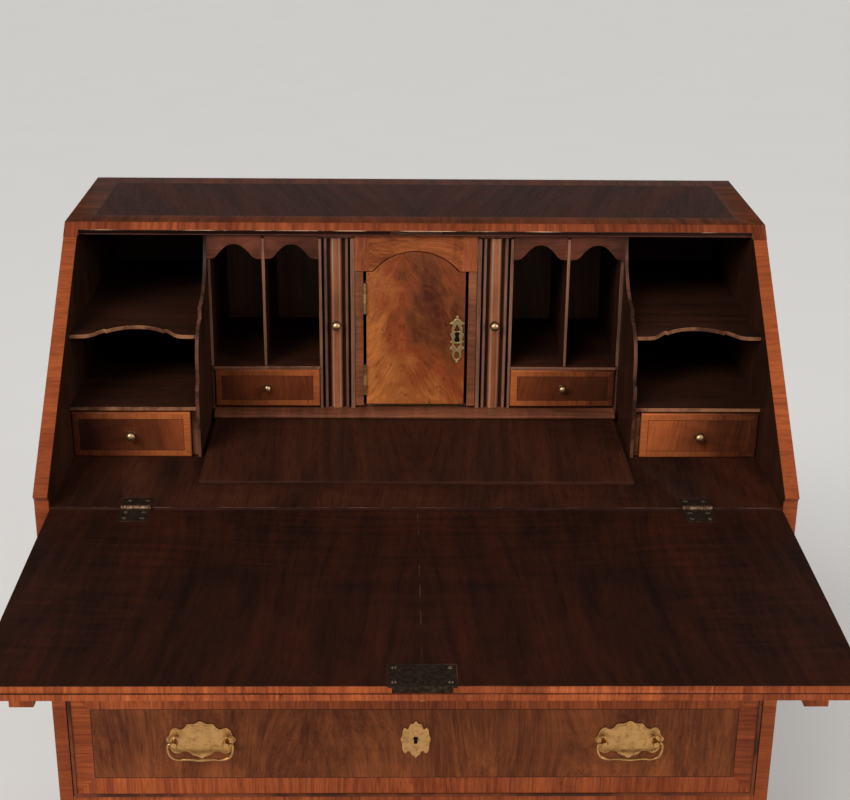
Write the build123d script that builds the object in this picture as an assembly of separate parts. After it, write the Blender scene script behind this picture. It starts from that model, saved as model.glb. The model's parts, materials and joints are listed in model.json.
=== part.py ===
from build123d import *

import os
from math import atan, cos, degrees, pi, radians, sin, tan

# Slant-front writing bureau, in millimetres, +Z up. The case is drawn with its front plane at Y = 0,
# its middle at X = 0 and the floor at Z = 0. The last step moves every piece so that the origin lies
# under the middle of the whole bureau as it stands open. Pieces are drawn with the fall open, drooping
# a little onto the ends of its pulled-out lopers, and with everything else closed.

# Case
case_width = 920.0
case_depth = 540.0
bed_height = 750.0
top_rise = 275.0
side_thickness = 18.0
top_thickness = 15.5
bed_thickness = 24.0
slope_angle = 41.0
nose_reach = 6.0
top_band = 13.0
top_rebate = 8.0
back_thickness = 12.0
back_rebate = 8.0
back_plank_count = 4
back_plank_gap = 0.6
bed_setback = 1.5
fit_gap = 0.3
cut_overrun = 5.0

# Base
foot_height = 105.0
foot_thickness = 20.0
foot_wing = 150.0
foot_toe = 72.0
foot_cyma_rise = 58.0
foot_reach = 5.0
moulding_reach = 10.0
bottom_thickness = 22.0

# Rails and drawer rows, from the bottom
rail_thickness = 16.0
rail_depth = 60.0
dust_thickness = 8.0
row_shares = (0.40, 0.33, 0.27)
loper_room = 65.0
muntin_width = 16.0
guide_height = 20.0

# Drawers of the case
front_thickness = 18.0
front_gap = 1.2
bead_width = 4.0
bead_reach = 2.0
box_wall = 8.0
box_bottom = 6.0
box_bottom_rise = 4.0
box_drop_share = 0.08
drawer_back_gap = 30.0

# Drawer brasses
plate_width = 92.0
plate_height = 58.0
plate_thickness = 1.5
post_radius = 4.5
post_spacing = 66.0
post_length = 14.0
bail_radius = 2.2
bail_drop = 24.0
bail_corner = 12.0
pin_reach = 4.0
bail_clear = 0.3
handle_rise_share = 0.54
long_handle_share = 0.31
escutcheon_width = 40.0
escutcheon_height = 58.0
keyhole_radius = 3.0
keyhole_slot = 9.0
keyhole_slot_width = 3.0

# Fall, its hinges and lock
fall_thickness = 16.0
fall_droop = 1.6
fall_gap = 1.0
fall_heel = 5.0
lip_thickness = 7.6
hinge_width = 36.0
hinge_inset = 104.0
hinge_fall_leaf = 35.0
hinge_bed_leaf = 28.0
leaf_thickness = 2.0
knuckle_radius = 3.5
knuckle_count = 5
knuckle_gap = 0.2
hinge_pin_radius = 1.3
hinge_pin_clear = 0.15
lock_width = 69.0
lock_depth = 39.6
lock_plate = 2.0
lock_body_width = 60.0
lock_body_depth = 34.6
lock_body_thickness = 6.0
fall_plate_width = 30.0
fall_plate_height = 35.0
strike_width = 68.0
strike_depth = 6.6
strike_thickness = 1.2
strike_slot_length = 9.0
strike_slot_width = 2.6

# Lopers
loper_width = 26.0
loper_travel = 300.0
loper_back_gap = 68.0
loper_clear = 1.0
loper_packing = 11.0
loper_wall = 7.0
loper_guide_back_gap = 28.0
frieze_thickness = 18.0

# Well
well_wall = 8.0
well_floor = 6.0
cover_front = 68.0
cover_depth = 217.0
cover_side_gap = 1.8
cover_side_lap = 16.2
cover_front_lap = 17.0
cover_back_lap = 35.0
cover_thickness = 4.5
cover_lift = 0.2
cover_edge = 2.0

# Wings, each side of the nest
divider_inner = 277.3
divider_thickness = 4.5
wing_front = 154.0
divider_ledge_rise = 86.0
divider_ledge = 12.0
scroll_radius = 49.0
scroll_centre_rise = 120.0
scroll_step = 13.0
crest_fall_gap = 1.5
wing_board_rise = 64.0
wing_board_thickness = 5.0
shelf_rise = 151.0
shelf_thickness = 5.0
shelf_set_back = 29.0
shelf_bow = 38.0
shelf_step = 4.0
wing_guide_width = 7.2
wing_drawer_head = 2.7
small_front_thickness = 8.0
small_wall = 4.0
small_gap = 0.8
small_edge = 2.0

# Nest
nest_fall_gap = 1.2
nest_back_gap = 24.0
nest_head_gap = 1.5
nest_wall = 4.0
nest_set_back = 13.5
nest_floor_gap = 1.5
nest_floor_thickness = 10.8
nest_lid = 4.0
partition_thickness = 3.8
pigeon_share = 0.51
cupboard_wall = 5.4
column_space = 38.2
centre_board_rise = 71.0
centre_board_thickness = 4.0
torus_gap = 0.5
torus_height = 5.6
torus_reach = 18.0
fillet_height = 2.4
fillet_reach = 14.0
valance_thickness = 4.0
valance_set_back = 2.0
valance_height = 32.5
valance_crest_height = 12.5
valance_land = 4.0

# Column drawers
column_gap = 0.6
column_radius = 7.6
bead_place = 12.3
column_bead = 3.7
bead_stand = 5.4

# Cupboard
door_half_width = 66.3
door_side_gap = 4.1
door_foot_gap = 3.0
door_thickness = 9.5
stile_width = 11.1
stile_set_back = 1.2
frieze_height = 49.0
arch_head = 21.0
arch_shoulder = 9.8
arch_gap = 1.2
arch_ease = 5.0
door_knuckle_radius = 2.2
door_knuckle_gap = 0.1
door_leaf = 0.8
door_leaf_depth = 7.0
door_hinge_length = 43.0
door_hinge_low_inset = 36.0
door_hinge_high_inset = 37.0
door_plate_inset = 10.4
door_plate_height = 68.0
door_plate_width = 20.5
door_plate_thickness = 1.2
door_keyhole_radius = 2.0
door_keyhole_slot = 7.0
door_plate_share = 0.535

# Pierced keyhole plate, as shares of its height and half width from its foot upwards: lobes, horns
# and holes are each a height, a half width and a size. The eye is the keyhole's round part.
oval_facets = 16
plate_eye_share = 0.61
plate_apex_share = 0.85
plate_lobe_shares = ((0.03, 0.25, 0.03), (0.17, 0.68, 0.12), (0.38, 0.5, 0.08), (0.82, 0.55, 0.09), (0.96, 0.25, 0.04))
plate_horn_shares = ((0.31, 1.0, 0.05), (0.86, 1.0, 0.05))
plate_hole_shares = ((0.17, 0.32, 0.075), (0.38, 0.2, 0.03))

# Small knobs
knob_radius = 5.2
knob_length = 11.0
knob_neck = 2.4
knob_neck_share = 0.36
knob_shoulder_share = 0.7
knob_tip_share = 0.35
knob_facets = 16
rose_radius = 6.5
rose_thickness = 1.2
wing_knob_rise = 30.0
centre_knob_scale_share = 0.85
column_knob_share = 0.5

# Sizes that follow from the values above
slope = radians(slope_angle)
droop = radians(fall_droop)
half_width = case_width / 2
inner_half = half_width - side_thickness
bed_z = bed_height
bed_low = bed_z - bed_thickness
top_z = bed_z + top_rise
top_low = top_z - top_thickness
back_y = case_depth - back_thickness
slope_length = (top_rise - fall_thickness * cos(slope)) / sin(slope)
band_end = slope_length - top_band
lip_end = band_end - fall_gap
fall_end = ((top_rise - top_thickness) - top_rebate * cos(slope)) / sin(slope) - fall_gap
fall_half = inner_half - fall_gap
fall_low = bed_z - fall_thickness
hinge_place = inner_half - hinge_inset
loper_high = bed_z - loper_travel * tan(droop) - fall_thickness / cos(droop) - fit_gap
loper_floor = bed_low - loper_room
loper_low = loper_floor + fit_gap
loper_length = back_y - loper_back_gap
loper_guide_depth = back_y - loper_guide_back_gap
loper_outer = inner_half - loper_packing - loper_clear
loper_inner = loper_outer - loper_width
frieze_half = loper_inner - loper_clear - loper_wall
lower_low = foot_height + bottom_thickness
rows_height = loper_floor - lower_low - rail_thickness * len(row_shares)
lower_high = lower_low + rows_height * row_shares[0]
upper_low = lower_high + rail_thickness
upper_high = upper_low + rows_height * row_shares[1]
short_low = upper_high + rail_thickness
short_high = loper_floor - rail_thickness
divider_outer = divider_inner + divider_thickness
wing_drawer_inner = divider_outer + wing_guide_width + small_gap
shelf_end = wing_front + shelf_set_back
shelf_crest = shelf_end + shelf_bow
crest_back = (top_low - bed_z) / tan(slope) + crest_fall_gap
nest_face = fall_end * cos(slope) + nest_fall_gap
nest_front = nest_face - valance_set_back
nest_back = back_y - nest_back_gap
case_front = nest_front + nest_set_back
lid_front = nest_face + valance_thickness + fit_gap
nest_top = top_low - nest_head_gap
nest_high = nest_top - nest_lid
nest_outer = divider_inner - fit_gap
nest_half = nest_outer - nest_wall
nest_floor_low = bed_z + cover_lift + cover_thickness + nest_floor_gap
nest_floor_top = nest_floor_low + nest_floor_thickness
torus_low = bed_z + cover_lift + cover_thickness + torus_gap
torus_high = torus_low + torus_height
cover_half_width = nest_half - cover_side_gap
well_half_width = cover_half_width - cover_side_lap
well_front = cover_front + cover_front_lap
well_back = cover_front + cover_depth - cover_back_lap
stile_inner = door_half_width + door_side_gap
stile_outer = stile_inner + stile_width
cupboard_wall_inner = stile_outer + fit_gap
column_inner = cupboard_wall_inner + cupboard_wall
column_outer = column_inner + column_space
centre_inner = column_outer + nest_wall
pigeon_partition = centre_inner + (nest_half - centre_inner) * pigeon_share - partition_thickness / 2
door_low = nest_floor_top + door_foot_gap
frieze_low = nest_top - frieze_height
arch_crest = nest_top - arch_head
arch_half_width = door_half_width - arch_shoulder


def slab(x, y, z):
    """A board between two X, two Y and two Z values."""
    size = [high - low for low, high in (x, y, z)]
    middle = [(low + high) / 2 for low, high in (x, y, z)]
    return Pos(*middle) * Box(*size)


def mirrored(x):
    """The same stretch of X on the other side of the middle."""
    return (-x[1], -x[0])


def sides_of(x):
    """A stretch of X and its mirror image, left one first."""
    return (mirrored(x), x)


def across(points, x):
    """A solid whose outline in Y and Z is a polygon, running along X."""
    outline = make_face(Polyline(*points, close=True))
    return Pos(x[0], 0, 0) * extrude(Plane.YZ * outline, amount=x[1] - x[0])


def facing(outline, y):
    """A solid whose outline in X and Z is a face, running along Y."""
    return Pos(0, y[1], 0) * extrude(Plane.XZ * outline, amount=y[1] - y[0])


def on_slope(along, out):
    """Y and Z of a point on the closed fall: along it from the hinge, and out from its inside face."""
    return (along * cos(slope) - out * sin(slope), bed_z + along * sin(slope) + out * cos(slope))


def slope_y(z):
    """Y of the slope's outer plane at a height."""
    return ((z - bed_z) * cos(slope) - fall_thickness) / sin(slope)


def between(low, high, share):
    """The value a share of the way from one value to another."""
    return low + (high - low) * share


def side(x):
    """One end of the case, with its slope edge, its nose and the rebate for the back."""
    nose_tip = on_slope(nose_reach, fall_thickness)
    nose_root_z = nose_tip[1] + nose_tip[0] / tan(slope)
    outline = [
        (0, foot_height),
        (0, nose_root_z),
        nose_tip,
        (slope_y(top_low), top_low),
        (case_depth, top_low),
        (case_depth, foot_height),
    ]
    inner = inner_half if x[0] > 0 else -inner_half
    rebate_x = (inner, inner + back_rebate) if x[0] > 0 else (inner - back_rebate, inner)
    rebate = slab(rebate_x, (back_y, case_depth + cut_overrun), (foot_height, top_low))
    return across(outline, x) - rebate


def top_board():
    """Top, bevelled to the slope, with the rebate that takes the fall's lip between the ends."""
    outline = [
        (slope_y(top_z), top_z),
        (case_depth, top_z),
        (case_depth, top_low),
        (slope_y(top_low), top_low),
    ]
    rebate = [
        on_slope(band_end, fall_thickness + cut_overrun),
        on_slope(band_end, fall_thickness - top_rebate),
        on_slope(band_end - top_band - cut_overrun, fall_thickness - top_rebate),
        on_slope(band_end - top_band - cut_overrun, fall_thickness + cut_overrun),
    ]
    board = across(outline, (-half_width, half_width)) - across(rebate, (-inner_half, inner_half))
    return board - strike_block(fit_gap)


def back_boards():
    """Upright planks let into the ends' rebates."""
    reach = inner_half + back_rebate - fit_gap
    pitch = 2 * reach / back_plank_count
    planks = []
    for number in range(back_plank_count):
        low = -reach + number * pitch
        x = (low + back_plank_gap / 2, low + pitch - back_plank_gap / 2)
        planks.append(slab(x, (back_y + fit_gap, case_depth), (foot_height, top_low - fit_gap)))
    return Compound(children=planks)


def hinge_leaf_seat(y):
    """The shallow mortises for the two hinge leaves, between two Y values."""
    seats = []
    for x in sides_of((hinge_place - hinge_width / 2, hinge_place + hinge_width / 2)):
        seats.append(slab(x, y, (bed_z - leaf_thickness, bed_z + cut_overrun)))
    return seats


def bed_board():
    """Writing-level board, cut through over the well and let in for the hinges."""
    board = slab((-inner_half, inner_half), (bed_setback, back_y), (bed_low, bed_z))
    board -= slab(
        (-well_half_width, well_half_width),
        (well_front, well_back),
        (bed_low - cut_overrun, bed_z + cut_overrun),
    )
    for seat in hinge_leaf_seat((-cut_overrun, hinge_bed_leaf)):
        board -= seat
    knuckle_room = knuckle_radius + fit_gap
    for x in sides_of((hinge_place - hinge_width / 2, hinge_place + hinge_width / 2)):
        board -= slab(x, (0, knuckle_room), (bed_z - knuckle_room, bed_z + cut_overrun))
    return board


def leaf_tab(x, y):
    """Part of a leaf between its flange and one knuckle."""
    return slab(x, y, (bed_z - leaf_thickness, bed_z))


def hinge_half(bed_side):
    """Both leaves on the bed side, or both on the fall side."""
    length = hinge_width / knuckle_count
    inset = knuckle_radius + fit_gap
    leaves = []
    for side_sign in (-1, 1):
        low = side_sign * hinge_place - hinge_width / 2
        x = (low + fit_gap, low + hinge_width - fit_gap)
        if bed_side:
            leaf = leaf_tab(x, (inset, hinge_bed_leaf - fit_gap))
        else:
            leaf = leaf_tab(x, (fit_gap - hinge_fall_leaf, -inset))
        for number in range(knuckle_count):
            if (number % 2 == 0) != bed_side:
                continue
            start = low + number * length
            tab_x = (start + knuckle_gap / 2, start + length - knuckle_gap / 2)
            barrel = Cylinder(knuckle_radius, length - knuckle_gap, rotation=(0, 90, 0))
            barrel = Pos(start + length / 2, 0, bed_z) * barrel
            reach = (0, inset) if bed_side else (-inset, 0)
            leaf += barrel + leaf_tab(tab_x, reach)
        pin_x = (low + knuckle_gap / 2, low + hinge_width - knuckle_gap / 2)
        middle = (pin_x[0] + pin_x[1]) / 2
        if bed_side:
            pin = Cylinder(hinge_pin_radius, pin_x[1] - pin_x[0], rotation=(0, 90, 0))
            leaf += Pos(middle, 0, bed_z) * pin
        else:
            bore_radius = hinge_pin_radius + hinge_pin_clear
            bore = Cylinder(bore_radius, pin_x[1] - pin_x[0] + cut_overrun, rotation=(0, 90, 0))
            leaf -= Pos(middle, 0, bed_z) * bore
        leaves.append(leaf)
    return Compound(children=leaves)


def keyhole(x, z, y):
    """A keyhole: a round hole with a slot below it, running along Y."""
    hole = Pos(x, z) * RegularPolygon(keyhole_radius, 12)
    slot = Pos(x, z - keyhole_slot / 2) * Rectangle(keyhole_slot_width, keyhole_slot)
    return facing(hole + slot, y)


def fall_board():
    """Fall, drawn open, with its lip, hinge mortises, lock mortise and keyhole."""
    outline = [
        (-fall_heel, bed_z),
        (-fall_end, bed_z),
        (-fall_end, bed_z - fall_thickness + lip_thickness),
        (-lip_end, bed_z - fall_thickness + lip_thickness),
        (-lip_end, fall_low),
        (-fall_heel, fall_low),
    ]
    board = across(outline, (-fall_half, fall_half))
    for seat in hinge_leaf_seat((-hinge_fall_leaf, cut_overrun)):
        board -= seat
    lock_front = fall_end + cut_overrun
    board -= slab(
        (-lock_width / 2, lock_width / 2),
        (-lock_front, lock_depth - fall_end),
        (bed_z - lock_plate, bed_z + cut_overrun),
    )
    board -= slab(
        (-lock_body_width / 2, lock_body_width / 2),
        (-lock_front, lock_body_depth - fall_end),
        (bed_z - lock_plate - lock_body_thickness, bed_z),
    )
    hole_y = lock_body_depth / 2 - fall_end
    board -= Pos(0, hole_y, fall_low) * Cylinder(keyhole_radius, fall_thickness)
    return board


def fall_lock():
    """Lock: a flush plate on the fall's inside face with the lock's case under it."""
    plate = slab(
        (fit_gap - lock_width / 2, lock_width / 2 - fit_gap),
        (-fall_end, lock_depth - fall_end - fit_gap),
        (bed_z - lock_plate + fit_gap, bed_z),
    )
    body = slab(
        (fit_gap - lock_body_width / 2, lock_body_width / 2 - fit_gap),
        (-fall_end, lock_body_depth - fall_end - fit_gap),
        (bed_z - lock_plate - lock_body_thickness + fit_gap, bed_z - lock_plate + fit_gap),
    )
    return plate + body


def drooped(piece):
    """A piece of the fall, turned about the hinge line from level to its open rest."""
    return Pos(0, 0, bed_z) * Rot(fall_droop, 0, 0) * Pos(0, 0, -bed_z) * piece


def plate_outline(width, height):
    """A shaped brass plate: a pointed oval with a crest above and a drop below."""
    half = width / 2
    quarter = [(half, 0), (half * 3 / 5, height / 4), (half * 2 / 5, height / 4), (half / 6, height / 2)]
    right = [(x, -y) for x, y in reversed(quarter[1:])] + quarter
    left = [(-x, y) for x, y in reversed(right)]
    return make_face(Polyline(*right, *left, close=True))


def fall_escutcheon():
    """Keyhole plate on the fall's outside face, which faces down while the fall is open."""
    hole_y = lock_body_depth / 2 - fall_end
    outline = plate_outline(fall_plate_width, fall_plate_height) - Circle(keyhole_radius)
    plate = extrude(outline, amount=plate_thickness)
    return Pos(0, hole_y, fall_low - plate_thickness) * plate


def strike_block(gap):
    """The strike's own size in its place on the rebate's shoulder, enlarged by a gap all round."""
    y, z = on_slope(band_end + strike_thickness / 2, fall_thickness - top_rebate / 2)
    block = Box(strike_width + 2 * gap, strike_thickness, strike_depth + 2 * gap)
    return Pos(0, y, z) * Rot(slope_angle, 0, 0) * block


def strike_plate():
    """Brass strike let flush into the shoulder that faces the lock, with a slot for each bolt."""
    y, z = on_slope(band_end, fall_thickness - top_rebate / 2)
    plate = strike_block(0)
    for sign in (-1, 1):
        slot = Box(strike_slot_length, 2 * cut_overrun, strike_slot_width)
        plate -= Pos(sign * strike_width / 4, y, z) * Rot(slope_angle, 0, 0) * slot
    return plate


def knob(x, y, z, size_share):
    """Turned brass knob with its rose, pointing towards -Y from a face at Y."""
    radius = knob_radius * size_share
    length = knob_length * size_share
    neck = knob_neck * size_share
    rose = rose_radius * size_share
    bulb = (length * knob_neck_share, length)
    turns = [
        (rose, 0),
        (rose, rose_thickness),
        (neck, rose_thickness),
        (neck, bulb[0]),
        (radius, between(*bulb, 1 / 3)),
        (radius, between(*bulb, 1 / 2)),
        (radius * knob_shoulder_share, between(*bulb, 5 / 6)),
        (radius * knob_tip_share, length),
    ]
    turned = None
    for (reach, rise), (next_reach, next_rise) in zip(turns, turns[1:]):
        if next_rise > rise:
            height = next_rise - rise
            lean = atan(abs(reach - next_reach) * cos(pi / knob_facets) / height)
            outline = RegularPolygon(max(reach, next_reach), knob_facets)
            ring = extrude(outline, amount=height, taper=degrees(lean))
            seat = Pos(0, 0, rise) if reach >= next_reach else Pos(0, 0, next_rise) * Rot(180, 0, 0)
            turned = seat * ring if turned is None else turned + seat * ring
    return Pos(x, y, z) * Rot(90, 0, 0) * turned


def loper(x):
    """A bar that is pulled out to carry the fall."""
    return slab(x, (-loper_travel, loper_length - loper_travel), (loper_low, loper_high))


def loper_guides():
    """Wall and packing each side of each loper."""
    wall_x = (frieze_half, frieze_half + loper_wall)
    packing_x = (inner_half - loper_packing, inner_half)
    made = []
    for x in sides_of(wall_x) + sides_of(packing_x):
        made.append(slab(x, (0, loper_guide_depth), (loper_floor, bed_low)))
    return Compound(children=made)


def frieze_panel():
    """Fixed panel between the lopers, in front of the well."""
    return slab((-frieze_half, frieze_half), (0, frieze_thickness), (loper_floor, bed_low))


def well_box():
    """Well under the bed: front, back, two ends and a floor."""
    outer = well_half_width + well_wall
    front_y = (well_front - well_wall, well_front)
    back_y_range = (well_back, well_back + well_wall)
    floor_z = (loper_floor, loper_floor + well_floor)
    z = (floor_z[1], bed_low)
    pieces = [
        slab((-outer, outer), front_y, z),
        slab((-outer, outer), back_y_range, z),
    ]
    for x in sides_of((well_half_width, outer)):
        pieces.append(slab(x, (well_front, well_back), z))
    pieces.append(slab((-outer, outer), (front_y[0], back_y_range[1]), floor_z))
    return Compound(children=pieces)


def well_cover():
    """Sliding cover over the well, with a rounded front edge."""
    low = bed_z + cover_lift
    cover = slab(
        (-cover_half_width, cover_half_width),
        (cover_front, cover_front + cover_depth),
        (low, low + cover_thickness),
    )
    edge = cover.edges().filter_by(Axis.X).group_by(Axis.Y)[0].sort_by(Axis.Z)[-1]
    return fillet(edge, cover_edge)


def drawer_rails():
    """Three rails, the upright between the short drawers and the guide behind it."""
    pieces = []
    for low in (lower_high, upper_high, short_high):
        pieces.append(slab((-inner_half, inner_half), (0, rail_depth), (low, low + rail_thickness)))
    muntin = (-muntin_width / 2, muntin_width / 2)
    pieces.append(slab(muntin, (0, rail_depth), (short_low, short_high)))
    pieces.append(slab(muntin, (rail_depth, back_y), (short_low, short_low + guide_height)))
    return Compound(children=pieces)


def dust_boards():
    """Thin boards behind the rails, flush with their tops, which the drawers run on."""
    pieces = []
    for low in (upper_low, short_low, loper_floor):
        z = (low - dust_thickness, low)
        pieces.append(slab((-inner_half, inner_half), (rail_depth, back_y), z))
    return Compound(children=pieces)


def bottom_board():
    """Floor of the case."""
    return slab((-inner_half, inner_half), (0, back_y), (foot_height, foot_height + bottom_thickness))


def base_moulding():
    """Moulding round the front and both ends, over the feet."""
    low = foot_height
    high = foot_height + bottom_thickness
    lip = moulding_reach / 5
    shoulder = (moulding_reach - lip, between(low, high, 2 / 5))
    outline = make_face(
        Polyline((0, high), (lip, high))
        + Spline((lip, high), shoulder, tangents=[(0, -1), (1, -1)])
        + Polyline(shoulder, (moulding_reach, shoulder[1]), (moulding_reach, low), (0, low), (0, high))
    )
    path = Polyline(
        (-half_width, case_depth, 0), (-half_width, 0, 0), (half_width, 0, 0), (half_width, case_depth, 0)
    )
    start = Plane(origin=(-half_width, case_depth, 0), x_dir=(-1, 0, 0), z_dir=(0, 1, 0))
    return sweep(start * outline, path=path, transition=Transition.RIGHT)


def bracket():
    """Foot bracket: a straight toe and a hollow curve up to the wing, its corner at the origin."""
    toe = (foot_toe, foot_cyma_rise / 3)
    hollow = (between(foot_toe, foot_wing, 1 / 4), foot_cyma_rise)
    tip = (foot_wing, between(foot_cyma_rise, foot_height, 1 / 3))
    outline = make_face(
        Polyline((0, foot_height), (0, 0), (foot_toe, 0), toe)
        + ThreePointArc(toe, hollow, tip)
        + Polyline(tip, (foot_wing, foot_height), (0, foot_height))
    )
    return facing(outline, (0, foot_thickness))


def bracket_feet():
    """Four feet, each of a front or back bracket and an end bracket."""
    end_bracket = mirror(Rot(0, 0, -90) * bracket(), about=Plane.XZ)
    foot = bracket() + end_bracket
    front_left = Pos(-half_width - foot_reach, -foot_reach, 0) * foot
    back_left = Pos(-half_width - foot_reach, case_depth, 0) * mirror(foot, about=Plane.XZ)
    left = [front_left, back_left]
    return Compound(children=left + [mirror(one, about=Plane.YZ) for one in left])


def tray(x, y, z, wall, floor, rise):
    """A drawer's sides, back and bottom, as separate boards that butt together."""
    boards = [
        slab((x[0], x[0] + wall), y, z),
        slab((x[1] - wall, x[1]), y, z),
        slab((x[0] + wall, x[1] - wall), (y[1] - wall, y[1]), z),
    ]
    floor_z = (z[0] + rise, z[0] + rise + floor)
    boards.append(slab((x[0] + wall, x[1] - wall), (y[0], y[1] - wall), floor_z))
    return boards


def case_drawer(x, z):
    """A main drawer in its opening: a beaded front and an open box behind it."""
    front_x = (x[0] + front_gap, x[1] - front_gap)
    front_z = (z[0] + fit_gap, z[1] - front_gap)
    front = slab(front_x, (-bead_reach, front_thickness), front_z)
    field_x = (front_x[0] + bead_width, front_x[1] - bead_width)
    field_z = (front_z[0] + bead_width, front_z[1] - bead_width)
    front -= slab(field_x, (-bead_reach - cut_overrun, 0), field_z)
    drop = (z[1] - z[0]) * box_drop_share
    boards = tray(
        front_x,
        (front_thickness, back_y - drawer_back_gap),
        (front_z[0], z[1] - drop),
        box_wall,
        box_bottom,
        box_bottom_rise,
    )
    return Compound(children=[front] + boards)


def handle_places(x, count):
    """X of each handle on a drawer between two X values."""
    middle = (x[0] + x[1]) / 2
    if count == 1:
        return [middle]
    reach = (x[1] - x[0]) * long_handle_share
    return [middle - reach, middle + reach]


def handle_height(z):
    """Height of a drawer's handle posts."""
    return z[0] + (z[1] - z[0]) * handle_rise_share


def drawer_brasses(x, z, count):
    """Plates and posts of a drawer's handles, and its escutcheon if it has two handles."""
    height = handle_height(z)
    pieces = []
    for middle in handle_places(x, count):
        plate = Pos(middle, height) * plate_outline(plate_width, plate_height)
        solid = facing(plate, (-plate_thickness, 0))
        for sign in (-1, 1):
            place = middle + sign * post_spacing / 2
            section = Pos(place, height) * RegularPolygon(post_radius, 8)
            post = facing(section, (-plate_thickness - post_length, -plate_thickness))
            hole = extrude(
                Plane.YZ * RegularPolygon(bail_radius + bail_clear, 8), amount=post_radius, both=True
            )
            solid += post - Pos(place, bail_axis_y(), height) * hole
        pieces.append(solid)
    if count == 2:
        middle = (x[0] + x[1]) / 2
        plate = Pos(middle, height) * plate_outline(escutcheon_width, escutcheon_height)
        solid = facing(plate, (-plate_thickness, 0))
        pieces.append(solid - keyhole(middle, height, (-plate_thickness - cut_overrun, cut_overrun)))
    return Compound(children=pieces)


def bail_axis_y():
    """Y of the line that every bail swings on."""
    return -plate_thickness - post_length + post_radius


def bail(middle, height):
    """A bail hanging from its two posts: pins, arms and a cut-cornered grip, eight-sided in section."""
    y = bail_axis_y()
    pin = post_radius + pin_reach
    half = post_spacing / 2
    low = height - bail_drop
    left = [
        (middle - half + pin, height),
        (middle - half - pin, height),
        (middle - half - pin, low + bail_corner),
        (middle - half - pin + bail_corner, low),
    ]
    right = [(2 * middle - x, z) for x, z in reversed(left)]
    path = Polyline(*[(x, y, z) for x, z in left + right])
    start = Plane(origin=path @ 0, z_dir=path % 0)
    return sweep(start * RegularPolygon(bail_radius, 8), path=path, transition=Transition.RIGHT)


def wing_divider_outline():
    """Scrolled front edge of a wing divider, in Y and Z."""
    ledge_z = bed_z + divider_ledge_rise
    chest = wing_front + divider_ledge
    scroll_y, scroll_z = chest + scroll_radius, bed_z + scroll_centre_rise
    step_z = scroll_z + scroll_radius
    crest_z = step_z + scroll_step
    top = top_low - fit_gap
    return make_face(
        [
            Line((wing_front, bed_z), (wing_front, ledge_z)),
            CenterArc((chest, ledge_z), divider_ledge, 90, 90),
            Line((chest, ledge_z + divider_ledge), (chest, scroll_z)),
            CenterArc((scroll_y, scroll_z), scroll_radius, 90, 90),
            Line((scroll_y, step_z), (scroll_y, crest_z)),
            EllipticalCenterArc(
                (scroll_y, top), crest_back - scroll_y, top - crest_z, start_angle=270, arc_size=90
            ),
            Polyline((crest_back, top), (back_y, top), (back_y, bed_z), (wing_front, bed_z)),
        ]
    )


def wing_dividers():
    """The two scrolled boards beside the nest."""
    board = extrude(Plane.YZ * wing_divider_outline(), amount=divider_thickness)
    return Compound(children=[Pos(-divider_outer, 0, 0) * board, Pos(divider_inner, 0, 0) * board])


def shelf_outline(x):
    """Serpentine shelf seen from above: flat ends, a step each side and a bow inwards."""
    width = x[1] - x[0]
    middle = (x[0] + x[1]) / 2
    step = width / 4
    rise = shelf_crest - shelf_end
    step_y = shelf_end + rise * 3 / 5
    left = [(x[0], shelf_end), (x[0] + step / 3, shelf_end), (middle - step, step_y)]
    right = [(middle + step, step_y), (x[1] - step / 3, shelf_end), (x[1], shelf_end)]
    return make_face(
        Polyline(left[0], left[1])
        + Spline(left[1], left[2], tangents=[(1, 0), (1, rise / step)])
        + Line(left[2], (left[2][0] + shelf_step, step_y - shelf_step / 2))
        + ThreePointArc(
            (left[2][0] + shelf_step, step_y - shelf_step / 2),
            (middle, shelf_crest),
            (right[0][0] - shelf_step, step_y - shelf_step / 2),
        )
        + Line((right[0][0] - shelf_step, step_y - shelf_step / 2), right[0])
        + Spline(right[0], right[1], tangents=[(1, -rise / step), (1, 0)])
        + Polyline(right[1], right[2], (x[1], back_y), (x[0], back_y), (x[0], shelf_end))
    )


def wing_shelves():
    """Serpentine shelf, drawer board and drawer guide of each wing."""
    pieces = []
    board_z = (bed_z + wing_board_rise, bed_z + wing_board_rise + wing_board_thickness)
    for x in sides_of((divider_outer, inner_half)):
        shelf = extrude(shelf_outline(x), amount=shelf_thickness)
        pieces.append(Pos(0, 0, bed_z + shelf_rise) * shelf)
        pieces.append(slab(x, (wing_front, back_y), board_z))
    guide_x = (divider_outer, wing_drawer_inner - small_gap)
    guide_y = (wing_front + small_front_thickness, back_y)
    for x in sides_of(guide_x):
        pieces.append(slab(x, guide_y, (bed_z, board_z[0])))
    return Compound(children=pieces)


def rounded_front(x, y, z):
    """A small drawer front whose outer edges are eased."""
    front = slab(x, y, z)
    return fillet(front.faces().sort_by(Axis.Y)[0].edges(), small_edge)


def small_drawer(front_x, box_x, front_z, y, back):
    """A small drawer: eased front and a thin-walled open box."""
    front = rounded_front(front_x, (y, y + small_front_thickness), front_z)
    boards = tray(
        box_x,
        (y + small_front_thickness, back),
        (front_z[0], front_z[1] - small_edge),
        small_wall,
        small_wall / 2,
        small_wall / 2,
    )
    return Compound(children=[front] + boards)


def wing_drawer(left):
    """Drawer at the foot of a wing."""
    x = (wing_drawer_inner, inner_half - small_gap)
    if left:
        x = mirrored(x)
    z = (bed_z + fit_gap, bed_z + wing_board_rise - wing_drawer_head)
    return small_drawer(x, x, z, wing_front, back_y - drawer_back_gap)


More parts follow.
